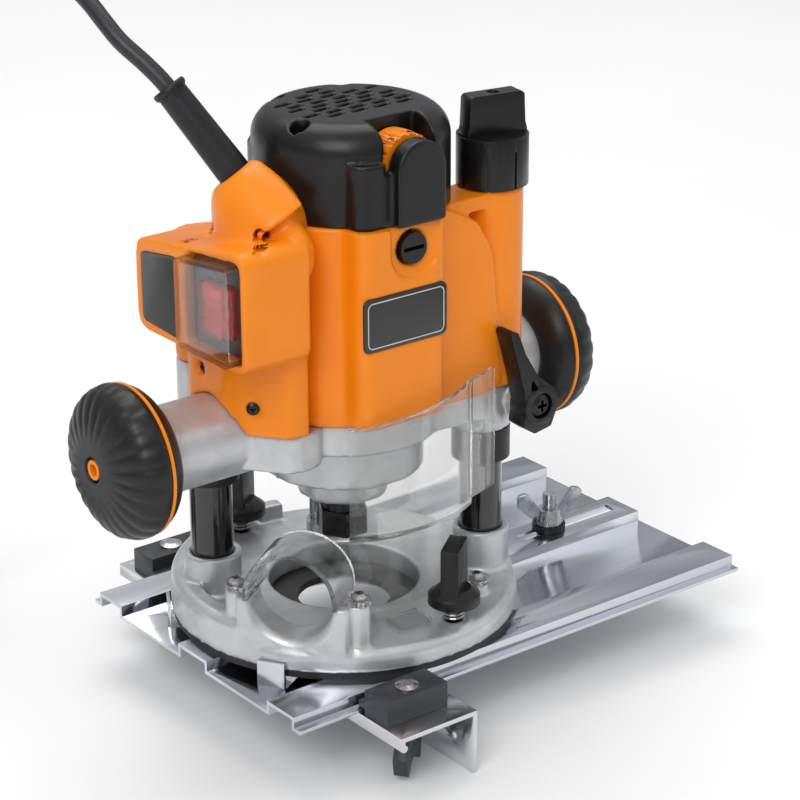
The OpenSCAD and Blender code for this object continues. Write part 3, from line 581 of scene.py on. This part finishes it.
@dataclass
class RingOf:
    """A Geometry Nodes tree that sets copies of a small body round a circle.

    Attributes:
        name: Name of the tree and of the piece.
        count: Number of copies.
        radius: Radius of the circle.
        size: Length, width and height of each copy, before its ends are rounded.
        finish: Finish of the copies.
        tilt: Turn of each copy about its own radius, in radians.
        segments: Corners round each copy's section.
    """

    name: str
    count: int
    radius: float
    size: Point
    finish: Finish
    tilt: float = 0.0
    segments: int = 10

    def tree(self) -> bpy.types.NodeTree:
        """Build the tree, with its sizes as named inputs.

        Returns:
            The node tree.
        """
        tree = bpy.data.node_groups.new(self.name + "_tree", "GeometryNodeTree")
        face = tree.interface
        face.new_socket("Geometry", in_out="INPUT", socket_type="NodeSocketGeometry")
        face.new_socket("Count", in_out="INPUT", socket_type="NodeSocketInt")
        face.new_socket("Radius", in_out="INPUT", socket_type="NodeSocketFloat")
        face.new_socket("Size", in_out="INPUT", socket_type="NodeSocketVector")
        face.new_socket("Tilt", in_out="INPUT", socket_type="NodeSocketFloat")
        face.new_socket("Finish", in_out="INPUT", socket_type="NodeSocketMaterial")
        face.new_socket("Geometry", in_out="OUTPUT", socket_type="NodeSocketGeometry")
        nodes, links = tree.nodes, tree.links
        start, end = nodes.new("NodeGroupInput"), nodes.new("NodeGroupOutput")
        circle = nodes.new("GeometryNodeMeshCircle")
        links.new(start.outputs["Count"], circle.inputs["Vertices"])
        links.new(start.outputs["Radius"], circle.inputs["Radius"])
        where = nodes.new("GeometryNodeInputPosition")
        turn = nodes.new("FunctionNodeAlignRotationToVector")
        turn.axis = "X"
        turn.pivot_axis = "Z"
        links.new(where.outputs["Position"], turn.inputs["Vector"])
        lean = nodes.new("FunctionNodeRotateRotation")
        lean.rotation_space = "LOCAL"
        angle = nodes.new("FunctionNodeAxisAngleToRotation")
        angle.inputs["Axis"].default_value = (1.0, 0.0, 0.0)
        links.new(start.outputs["Tilt"], angle.inputs["Angle"])
        links.new(turn.outputs["Rotation"], lean.inputs["Rotation"])
        links.new(angle.outputs["Rotation"], lean.inputs["Rotate By"])
        ball = nodes.new("GeometryNodeMeshUVSphere")
        ball.inputs["Segments"].default_value = self.segments
        ball.inputs["Rings"].default_value = 6
        ball.inputs["Radius"].default_value = 0.5
        shape = nodes.new("GeometryNodeTransform")
        links.new(ball.outputs["Mesh"], shape.inputs["Geometry"])
        links.new(start.outputs["Size"], shape.inputs["Scale"])
        copies = nodes.new("GeometryNodeInstanceOnPoints")
        links.new(circle.outputs["Mesh"], copies.inputs["Points"])
        links.new(shape.outputs["Geometry"], copies.inputs["Instance"])
        links.new(lean.outputs["Rotation"], copies.inputs["Rotation"])
        real = nodes.new("GeometryNodeRealizeInstances")
        paint = nodes.new("GeometryNodeSetMaterial")
        shade = nodes.new("GeometryNodeSetShadeSmooth")
        links.new(copies.outputs["Instances"], real.inputs["Geometry"])
        links.new(real.outputs["Geometry"], shade.inputs["Geometry"])
        links.new(shade.outputs["Geometry"], paint.inputs["Geometry"])
        links.new(start.outputs["Finish"], paint.inputs["Material"])
        links.new(paint.outputs["Geometry"], end.inputs["Geometry"])
        return tree

    def make(self, place: Matrix) -> bpy.types.Object:
        """Make the ring as a plain mesh.

        Args:
            place: Where the circle lies; its axis is local Z.

        Returns:
            The new object, at the origin.
        """
        piece = bpy.data.objects.new(self.name, bpy.data.meshes.new(self.name))
        bpy.context.scene.collection.objects.link(piece)
        modifier = piece.modifiers.new("ring", "NODES")
        modifier.node_group = self.tree()
        values = {
            "Count": self.count,
            "Radius": self.radius,
            "Size": self.size,
            "Tilt": self.tilt,
            "Finish": self.finish.build(),
        }
        for item in modifier.node_group.interface.items_tree:
            if item.in_out == "INPUT" and item.name in values:
                modifier[item.identifier] = values[item.name]
        bake(piece)
        piece.data.transform(place)
        return piece


# ---------------------------------------------------------------- studio and cord


@dataclass
class Studio:
    """Camera, floor and soft lights.

    Attributes:
        eye: Where the camera stands.
        right: Direction to the right of the picture.
        up: Direction to the top of the picture.
        back: Direction from the object to the camera.
        lens: Focal length in millimetres, on a 36 mm sensor.
        floor_z: Height of the floor, just under the lowest point of the fence.
        floor_size: Side of the floor.
    """

    eye: Point = (-0.6118, -0.8244, 0.5052)
    right: Point = (0.78772, -0.61602, -0.00389)
    up: Point = (0.23272, 0.29172, 0.92776)
    back: Point = (-0.57038, -0.73172, 0.37316)
    lens: float = 119.5
    floor_z: float = -0.0345
    floor_size: float = 7.0

    def camera(self) -> None:
        """Make the camera and make it the scene's own."""
        data = bpy.data.cameras.new("camera")
        data.lens = self.lens
        data.sensor_width = 36.0
        data.clip_start = 0.02
        eye = bpy.data.objects.new("camera", data)
        bpy.context.scene.collection.objects.link(eye)
        turn = Matrix((self.right, self.up, self.back)).transposed().to_4x4()
        eye.matrix_world = Matrix.Translation(self.eye) @ turn
        bpy.context.scene.camera = eye

    def floor(self) -> None:
        """Lay the plain pale floor."""
        half = self.floor_size / 2
        corners = [(-half, -half, 0), (half, -half, 0), (half, half, 0), (-half, half, 0)]
        floor = mesh_piece("floor", [(x, y, self.floor_z) for x, y, _ in corners], [(0, 1, 2, 3)])
        paper = Finish(
            "floor_paper", colour=(0.90, 0.90, 0.90), shade=(0.88, 0.88, 0.88), roughness=0.75,
            spread=0.05, grain=Grain.PLAIN, pitch=0.003, height=0.03, patch=0.4,
        )
        dress(floor, paper)

    def lights(self) -> None:
        """Hang three broad soft lights and light the room evenly."""
        self._lamp("key_light", (-1.6, -1.1, 1.7), 1.3, 25.0)
        self._lamp("fill_light", (1.9, -1.2, 1.1), 1.6, 4.0)
        self._lamp("top_light", (0.3, 0.8, 2.1), 1.5, 18.0)
        world = bpy.data.worlds.new("room")
        world.use_nodes = True
        tree = world.node_tree
        back = tree.nodes["Background"]
        where = tree.nodes.new("ShaderNodeTexCoord")
        split = tree.nodes.new("ShaderNodeSeparateXYZ")
        ramp = tree.nodes.new("ShaderNodeValToRGB")
        ramp.color_ramp.elements[0].position = 0.0
        ramp.color_ramp.elements[0].color = (0.62, 0.64, 0.67, 1.0)
        ramp.color_ramp.elements[1].position = 0.75
        ramp.color_ramp.elements[1].color = (1.0, 1.0, 1.0, 1.0)
        dark = ramp.color_ramp.elements.new(0.22)
        dark.color = (0.42, 0.43, 0.45, 1.0)
        tree.links.new(where.outputs["Generated"], split.inputs["Vector"])
        tree.links.new(split.outputs["Z"], ramp.inputs["Fac"])
        tree.links.new(ramp.outputs["Color"], back.inputs["Color"])
        back.inputs["Strength"].default_value = 0.78
        bpy.context.scene.world = world

    def _lamp(self, name: str, place: Point, size: float, power: float) -> None:
        """Hang one square soft light that faces the router.

        Args:
            name: Name of the light.
            place: Where it hangs.
            size: Side of the square.
            power: Power in watts.
        """
        data = bpy.data.lights.new(name, "AREA")
        data.shape = "SQUARE"
        data.size = size
        data.energy = power
        lamp = bpy.data.objects.new(name, data)
        bpy.context.scene.collection.objects.link(lamp)
        aim = (Vector((0.0, 0.0, 0.08)) - Vector(place)).to_track_quat("-Z", "Y").to_matrix().to_4x4()
        lamp.matrix_world = Matrix.Translation(place) @ aim

    def build(self) -> None:
        """Make the camera, the floor and the lights."""
        self.camera()
        self.floor()
        self.lights()
        bpy.context.scene.view_settings.view_transform = "Standard"
        log.info("studio: camera %.1f mm", self.lens)


@dataclass
class MainsCord:
    """The mains lead with its boot, its spare turns and its plug.

    Attributes:
        radius: Radius of the sheath.
        boot_exit: Where the boot leaves the hump.
        boot_turn: Direction in which the boot leans, in radians.
        boot_tilt: Lean of the boot from the vertical, in radians.
        coil_centre: Middle of the spare turns.
        coil_radii: Radii of the turns in each layer.
        coil_levels: Heights of the layers.
        leave: Angle at which the lead leaves the turns, in degrees.
        lead: Length of the straight end, and the height at which it runs.
    """

    radius: float = 3.5 * MM
    boot_exit: Point = (-49.2 * MM, 1.0 * MM, 199.4 * MM)
    boot_turn: float = math.radians(127.6)
    boot_tilt: float = math.radians(38.6)
    coil_centre: tuple[float, float] = (-136.5 * MM, 212 * MM)
    coil_radii: Point = (42 * MM, 35 * MM, 28 * MM)
    coil_levels: Point = (-30.5 * MM, -23.5 * MM, -16.5 * MM)
    leave: float = 190.0
    lead: tuple[float, float] = (30 * MM, -16.8 * MM)
    rise: tuple[Point, ...] = (
        (-70, 30, 241), (-75, 40, 249), (-77, 49, 256), (-78, 60, 263), (-80, 80, 272), (-85, 104, 278),
    )
    fall: tuple[Point, ...] = (
        (-91, 124, 277.5), (-96, 139, 267), (-99, 148, 246), (-100, 151, 205), (-100, 151, 150),
        (-100, 152, 95), (-99, 153, 50), (-97, 156, 16), (-95.5, 164, -10), (-94, 178, -25),
        (-93.3, 196, -30.5),
    )
    steps: int = 6

    def heading(self) -> Vector:
        """Direction in which the boot points."""
        flat, turn = math.sin(self.boot_tilt), self.boot_turn
        return Vector((flat * math.cos(turn), flat * math.sin(turn), math.cos(self.boot_tilt)))

    def line(self) -> list[Vector]:
        """Work out the middle line of the whole lead.

        Returns:
            Points from inside the boot to inside the plug's relief.
        """
        start, way = Vector(self.boot_exit), self.heading()
        marks = [start - way * 7 * MM, start + way * 18 * MM, start + way * 42 * MM]
        marks += [Vector(p) * MM for p in (*self.rise, *self.fall)]
        marks.append(self._turn_point(5.0, self.coil_radii[0], self.coil_levels[0]))
        smooth: list[Vector] = []
        for i in range(len(marks) - 1):
            a, b = marks[max(0, i - 1)], marks[i]
            c, d = marks[i + 1], marks[min(len(marks) - 1, i + 2)]
            for j in range(self.steps):
                t = j / self.steps
                square = (2 * a - 5 * b + 4 * c - d) * t * t
                cube = (3 * b - a - 3 * c + d) * t**3
                smooth.append(0.5 * (2 * b + (c - a) * t + square + cube))
        return smooth + self._turns() + self._end()

    def _turn_point(self, angle: float, radius: float, level: float) -> Vector:
        """One point on the spare turns.

        Args:
            angle: Angle round the coil, in degrees.
            radius: Radius of the turn.
            level: Height of the turn.

        Returns:
            The point.
        """
        a = math.radians(angle)
        x, y = self.coil_centre
        return Vector((x + radius * math.cos(a), y + radius * math.sin(a), level))

    def _turns(self) -> list[Vector]:
        """Wind the spare length: in on the bottom layer, out on the next, and half a turn on top."""
        outer, middle, inner = self.coil_radii
        low, mid, high = self.coil_levels
        plan = [(outer, low), (middle, low), (inner, low)]
        plan += [(inner, mid), (middle, mid), (outer, mid), (outer, high)]
        points: list[Vector] = []
        for number, (radius, level) in enumerate(plan):
            stop = 360.0 if number < 6 else self.leave - 5.0
            nxt = plan[min(6, number + 1)]
            for step in range(int(stop / 9.0)):
                angle = step * 9.0
                blend = min(1.0, max(0.0, (angle - 210.0) / 150.0)) if number < 6 else 0.0
                ease = blend * blend * (3 - 2 * blend)
                wide = radius + (nxt[0] - radius) * ease
                points.append(self._turn_point(5.0 + angle, wide, level + (nxt[1] - level) * ease))
        return points

    def _end(self) -> list[Vector]:
        """Straight end that runs from the turns into the plug's relief."""
        turn = math.radians(self.leave + 90)
        start = self._turn_point(self.leave, self.coil_radii[0], self.coil_levels[2])
        way = Vector((math.cos(turn), math.sin(turn), 0.0))
        climb = self.lead[1] - start.z
        return [start + way * self.lead[0] * k / 6 + Vector((0, 0, climb * k / 6)) for k in range(7)]

    def boot(self) -> bpy.types.Object:
        """Make the tapered boot with its end lip.

        Returns:
            The boot.
        """
        profile: list[tuple[float, float]] = [(-7.9, 3.55), (-7.9, 6.8), (3.0, 6.85)]
        profile += [(5 + 2.5 * k, 6.85 - 0.05 * k) for k in range(0, 14)]
        profile += [(40.2, 6.15), (40.8, 6.9), (41.6, 7.2), (42.9, 7.15), (43.4, 6.5), (43.5, 3.55)]
        place = Matrix.Translation(self.boot_exit) @ Matrix.Rotation(self.boot_turn, 4, "Z")
        place = place @ Matrix.Rotation(self.boot_tilt, 4, "Y")
        piece = revolved("cord_boot_tapered", [(r * MM, z * MM) for z, r in profile], 48)
        piece.data.transform(place)
        dress(piece, RUBBER)
        return piece

    def build(self) -> None:
        line = self.line()
        lead = tube("mains_lead", line, self.radius, 14)
        dress(lead, CORD_BLACK)
        boot = self.boot()
        settle(boot, "head", "black_rubber", "cord_boot")
        for node in ("plug", "plug_pins"):
            dress_node(node, CORD_BLACK if node == "plug" else STEEL)
        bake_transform(lead)
        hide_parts("cord", "cord_tail", "cord_coil")


def revolved(
    name: str,
    profile: Sequence[tuple[float, float]],
    sides: int,
    shape: Callable[[float, float, float], tuple[float, float]] | None = None,
) -> bpy.types.Object:
    """Turn a closed profile about local Z.

    Args:
        name: Name of the piece.
        profile: Radius and height of each point, in order round the closed section.
        sides: Steps round the turn.
        shape: Optional rule that moves a point, from its radius, height and angle.

    Returns:
        The new object.
    """
    points: list[Point] = []
    for step in range(sides):
        a = 2 * math.pi * step / sides
        for radius, height in profile:
            r, h = shape(radius, height, a) if shape else (radius, height)
            points.append((r * math.cos(a), r * math.sin(a), h))
    count = len(profile)
    faces: list[list[int]] = []
    for step in range(sides):
        here, there = step * count, (step + 1) % sides * count
        for k in range(count):
            nxt = (k + 1) % count
            faces.append([here + k, there + k, there + nxt, here + nxt])
    return mesh_piece(name, points, faces)


def dress_node(node: str, finish: AnyFinish) -> None:
    """Give a CAD node its finish, on the node's own mesh.

    Args:
        node: Name of the node.
        finish: Its finish.
    """
    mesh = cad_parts[node].data
    material = finish.build()
    if not mesh.materials:
        mesh.materials.append(material)
    for k in range(len(mesh.materials)):
        mesh.materials[k] = material


# ---------------------------------------------------------------- the router


@dataclass
class MotorBody:
    """Orange body of the motor with the switch box, its black cap and its small plates.

    Attributes:
        voxel: Remesh size of the orange shells.
        passes: Smoothing passes of the orange shells.
        cap_voxel: Remesh size of the cap.
        hump_centre: Middle of the cord's hump, which is rounded further.
        hump_reach: Radius of the part that is rounded further.
        hump_passes: Extra smoothing passes there.
        domes: Centre and radii of the domes that the cord's boot leaves.
        screw_holes: Mouth and outward direction of each deep screw hole in the hump.
        wheel_centre: Middle of the speed wheel.
        wheel_radius: Radius of the speed wheel.
    """

    voxel: float = 1.0 * MM
    passes: int = 14
    cap_voxel: float = 0.75 * MM
    hump_centre: Point = (-46 * MM, -6 * MM, 184 * MM)
    hump_reach: float = 34 * MM
    hump_passes: int = 110
    domes: tuple[tuple[Point, Point], ...] = (
        ((-43.5 * MM, -8 * MM, 181 * MM), (17.5 * MM, 21 * MM, 21 * MM)),
        ((-44.5 * MM, -27 * MM, 174 * MM), (8 * MM, 13 * MM, 14 * MM)),
    )
    screw_holes: tuple[tuple[Point, Point], ...] = (
        ((-55 * MM, 5.5 * MM, 176.5 * MM), (-1.0, 0.0, 0.0)),
        ((-52.5 * MM, -20.5 * MM, 183 * MM), (-0.602, -0.799, 0.0)),
    )
    wheel_centre: Point = (2 * MM, -36.9 * MM, 204 * MM)
    wheel_radius: float = 12.8 * MM

    def shells(self) -> None:
        """Make the two orange shells and the cap as moulded plastic."""
        for node in ("switch_housing", "motor_housing"):
            hump = node == "switch_housing"
            melt = (self.hump_centre, self.hump_reach, self.hump_passes) if hump else None
            domes = self.domes if hump else ()
            shell = moulded(node + "_moulded", [node], self.voxel, self.passes, melt, domes)
            if hump:
                for mouth, way in self.screw_holes:
                    press_hole(shell, mouth, way)
            dress(shell, ORANGE)
            settle(shell, "head", "orange_shell", node)
        cap = moulded("motor_cap_moulded", ["motor_cap"], self.cap_voxel, 4)
        dress(cap, CAP_BLACK)
        settle(cap, "head", "black_cap", "motor_cap")

    def plates(self) -> None:
        """Break the edges of the small plates and add the badge plate's printed border line."""
        badge = eased("badge_eased", "badge_plate", 0.35 * MM)
        dress(badge, PLATE_BLACK)
        settle(badge, "head", "plates", "badge_plate")
        self._border("badge_line", (-25.7, 15.7, 133.3, 155.7), 1.6)
        rating = eased("rating_eased", "rating_plate", 0.2 * MM)
        dress(rating, PLATE_BLACK)
        settle(rating, "head", "plates", "rating_plate")

    def _border(self, name: str, edges: tuple[float, float, float, float], inset: float) -> None:
        """Print a thin line just inside the edge of the badge plate.

        Args:
            name: Name of the piece.
            edges: Left, right, lower and upper edge of the plate, in millimetres.
            inset: Distance of the line from the edge, in millimetres.
        """
        corner, width, face = 2.5, 0.45, -50.36
        x0, x1 = edges[0] + inset + corner, edges[1] - inset - corner
        z0, z1 = edges[2] + inset + corner, edges[3] - inset - corner
        corners = ((x1, z1, 0), (x0, z1, 90), (x0, z0, 180), (x1, z0, 270))
        loops: list[list[Point]] = []
        for shrink, depth in ((0.0, face), (0.0, face - 0.1), (width, face - 0.1), (width, face)):
            loop: list[Point] = []
            for cx, cz, start in corners:
                for step in range(7):
                    a = math.radians(start + 15 * step)
                    reach = corner - shrink
                    x, z = cx + reach * math.cos(a), cz + reach * math.sin(a)
                    loop.append((x * MM, depth * MM, z * MM))
            loops.append(loop)
        count = len(loops[0])
        points = [p for loop in loops for p in loop]
        faces: list[list[int]] = []
        for k in range(4):
            here, there = k * count, (k + 1) % 4 * count
            for j in range(count):
                nxt = (j + 1) % count
                faces.append([here + j, here + nxt, there + nxt, there + j])
        line = mesh_piece(name, points, faces)
        dress(line, PLATE_LINE, smooth=False)
        settle(line, "head", "plates")

    def wheel(self) -> None:
        """Dress the speed wheel with teeth round its rim and numbers on its face of the rim."""
        centre = Matrix.Translation(self.wheel_centre) @ Matrix.Rotation(math.radians(90), 4, "X")
        tooth = (0.9 * MM, 0.9 * MM, 7.0 * MM)
        ring = RingOf("speed_wheel_teeth", 36, self.wheel_radius - 0.15 * MM, tooth, ORANGE_TRIM)
        teeth = ring.make(centre @ Matrix.Translation((0, 0, -1.2 * MM)))
        settle(teeth, "dial", "orange_shell")
        dress_node("speed_dial", ORANGE_TRIM)
        for number in range(1, 7):
            self._digit(number)

    def _digit(self, number: int) -> None:
        """Print one number on the rim of the wheel.

        Args:
            number: The number to print.
        """
        data = bpy.data.curves.new(f"wheel_number_{number}", "FONT")
        data.body = str(number)
        data.size = 4.6 * MM
        data.extrude = 0.12 * MM
        data.align_x = "CENTER"
        data.align_y = "CENTER"
        letter = bpy.data.objects.new(f"wheel_number_{number}", data)
        bpy.context.scene.collection.objects.link(letter)
        graph = bpy.context.evaluated_depsgraph_get()
        mesh = bpy.data.meshes.new_from_object(letter.evaluated_get(graph), depsgraph=graph)
        bpy.data.objects.remove(letter)
        piece = bpy.data.objects.new(f"wheel_number_{number}", mesh)
        bpy.context.scene.collection.objects.link(piece)
        turn = math.radians(-30 + 40 * (number - 3))
        centre = Vector((self.wheel_centre[0], 0.0, self.wheel_centre[2]))
        place = (
            Matrix.Translation(centre)
            @ Matrix.Rotation(turn, 4, "Y")
            @ Matrix.Translation((0, -40.6 * MM, self.wheel_radius + 0.12 * MM))
        )
        mesh.transform(place)
        dress(piece, PLATE_BLACK, smooth=False)
        settle(piece, "dial", "plates")

    def build(self) -> None:
        """Make every piece of the motor body."""
        self.shells()
        self.plates()
        self.wheel()


@dataclass
class SideKnob:
    """A mushroom knob with a scalloped face.

    Attributes:
        name: Name of the piece.
        node: CAD node that it stands for.
        side: -1 for the left knob and 1 for the right one.
        axis_z: Height of the handle axis.
        radius: Largest radius.
        scallops: Number of shallow grooves in the face.
        depth: Depth of the grooves.
    """

    name: str
    node: str
    side: int
    axis_z: float = 93.3 * MM
    radius: float = 31.8 * MM
    scallops: int = 24
    depth: float = 0.55 * MM

    def _scallop(self, radius: float, height: float, angle: float) -> tuple[float, float]:
        """Press the grooves into the domed face.

        Args:
            radius: Radius of the point.
            height: Distance of the point out along the handle axis.
            angle: Angle of the point round the axis.

        Returns:
            The moved radius and height.
        """
        if height < 106.0 * MM or radius < 12 * MM:
            return radius, height
        reach = min(1.0, (radius - 12 * MM) / (8 * MM))
        reach *= min(1.0, max(0.0, (height - 106.0 * MM) / (3 * MM)))
        groove = (0.5 + 0.5 * math.cos(self.scallops * angle)) ** 2 * self.depth * reach
        lean = min(1.0, max(0.0, (height - 108 * MM) / (9 * MM)))
        return radius - groove * (1 - 0.6 * lean), height - groove * 0.8 * lean

    def build(self) -> None:
        """Turn the knob and put it on the handle axis."""
        r = self.radius / MM
        profile = [(18.05, 93.5), (19.4, 93.55), (20.8, 93.9), (23.4, 94.8)]
        profile += [(25.6, 96.0), (27.5, 97.5), (29.0, 99.0), (30.2, 101.0)]
        profile += [(r - 1.0, 102.4), (r - 1.2, 102.8), (r - 3, 102.8), (r - 3, 104.2)]
        profile += [(r - 0.9, 104.2), (r - 0.6, 104.5), (r - 0.15, 105.6)]
        profile += [(r, 106.5), (r - 0.05, 108), (r - 0.3, 109.5)]
        for step in range(1, 24):
            a = math.radians(14 + 76 * step / 23)
            profile.append(((r - 7) * math.cos(a) + 6.4, 109.5 + 12 * math.sin(a)))
        profile += [(5.6, 121.5), (5.3, 121.2), (5.2, 119.7), (5.1, 119.6)]
        profile += [(4.05, 119.6), (4.05, 99.1), (18.05, 99.1)]
        section = [(a * MM, b * MM) for a, b in profile]
        knob = revolved(self.name, section, self.scallops * 10, self._scallop)
        turn = Matrix.Rotation(math.radians(90 * self.side), 4, "Y")
        knob.data.transform(Matrix.Translation((0, 0, self.axis_z)) @ turn)
        dress(knob, GRIP_BLACK)
        settle(knob, "head", "black_soft", self.node)


@dataclass
class Castings:
    """The round base and the bracket that slides on the columns, as painted castings.

    Attributes:
        voxel: Remesh size.
        passes: Smoothing passes.
    """

    voxel: float = 1.0 * MM
    passes: int = 6

    def build(self) -> None:
        """Make both castings."""
        for node, body in (("base_casting", "base"), ("motor_bracket", "head")):
            piece = moulded(node + "_cast", [node], self.voxel, self.passes)
            dress(piece, CAST)
            settle(piece, body, "castings", node)


class Part(Enum):
    """CAD nodes that keep their shape, with their finish."""

    SOLE = ("sole_plate", SOLE)
    COLUMNS = ("guide_columns", COLUMN_BLACK)
    HOOD = ("chip_hood", CLEAR_HOOD)
    HOOD_SCREWS = ("hood_screws", STEEL)
    HAND_SPRINGS = ("hand_springs", SPRING)
    TURRET = ("depth_turret", STEEL)
    STUD = ("pin_stud", STEEL)
    WASHER = ("pin_washer", RUBBER)
    FENCE_BOLTS = ("fence_bolts", STEEL)
    WIPERS = ("wiper_rings", RUBBER)
    PLUNGE_SPRINGS = ("plunge_springs", SPRING)
    KNOB_RINGS = ("knob_rings", ORANGE_TRIM)
    KNOB_BOLTS = ("knob_bolts", STEEL)
    CAP_SCREWS = ("cap_screws", NUT)
    BODY_SCREWS = ("body_screws", NUT)
    SWITCH = ("switch_body", PLATE_BLACK)
    ROCKER = ("switch_rocker", RED)
    BOOT = ("switch_boot", CLEAR_BOOT)
    SPEED_BOARD = ("speed_board", BOARD)
    HOLDERS = ("brush_holders", BRASS)
    BRUSH_CAPS = ("brush_caps", CAP_BLACK)
    BRUSHES = ("carbon_brushes", CARBON)
    STATOR = ("stator", IRON)
    BEARINGS = ("bearings", STEEL)
    BRIDGE = ("bearing_bridge", CAST)
    SPINDLE = ("spindle", STEEL)
    ARMATURE = ("armature", COPPER)
    COMMUTATOR = ("commutator", COPPER)
    FAN = ("cooling_fan", CAP_BLACK)
    COLLET = ("collet", STEEL)
    COLLET_NUT = ("collet_nut", NUT)
    DEPTH_ROD = ("depth_rod", STEEL)
    LEVER_SCREW = ("lever_screw", NUT)
    SPINDLE_LOCK = ("spindle_lock", CAP_BLACK)

    @property
    def node(self) -> str:
        """Name of the CAD node."""
        return self.value[0]

    @property
    def finish(self) -> AnyFinish:
        """Finish of the node."""
        return self.value[1]


@dataclass
class SmallParts:
    """Parts that keep the CAD shape, as they are or with their edges broken.

    Attributes:
        eased_parts: CAD node, body, slot, finish and bevel width of each part with broken edges.
    """

    eased_parts: list[tuple[str, str, str, Finish, float]] = field(
        default_factory=lambda: [
            ("guide_plate", "base", "zinc", ZINC_WITH_PAINTED_REFLECTION, 0.7 * MM),
            ("fence", "fence", "zinc", FENCE_ZINC, 0.5 * MM),
            ("clamp_blocks", "fence", "slate", SLATE, 0.9 * MM),
            ("wing_nut", "wing_nut", "steel", STEEL, 0.5 * MM),
            ("fence_knob_front", "fence_knob_front", "slate", SLATE, 0.7 * MM),
            ("fence_knob_rear", "fence_knob_rear", "slate", SLATE, 0.7 * MM),
            ("lock_lever", "lever", "black_cap", CAP_BLACK, 0.8 * MM),
            ("hand_screw_front", "hand_screw_front", "black_cap", CAP_BLACK, 0.7 * MM),
            ("hand_screw_rear", "hand_screw_rear", "black_cap", CAP_BLACK, 0.7 * MM),
            ("adjust_knob", "adjuster", "black_cap", CAP_BLACK, 1.0 * MM),
        ]
    )

    def build(self) -> None:
        """Dress the kept nodes and make the parts with broken edges."""
        for part in Part:
            dress_node(part.node, part.finish)
            log.info("%s keeps its CAD shape", part.node)
        for node, body, slot, finish, width in self.eased_parts:
            piece = eased(node + "_eased", node, width)
            dress(piece, finish)
            settle(piece, body, slot, node)


def main() -> None:
    """Build the studio, the cord and every part of the router, in that order."""
    logging.basicConfig(level=logging.INFO, format="%(message)s")
    Studio().build()
    MainsCord().build()
    MotorBody().build()
    Castings().build()
    SideKnob("knob_left_scalloped", "knob_left", -1).build()
    SideKnob("knob_right_scalloped", "knob_right", 1).build()
    SmallParts().build()


if __name__ == "__main__":
    main()
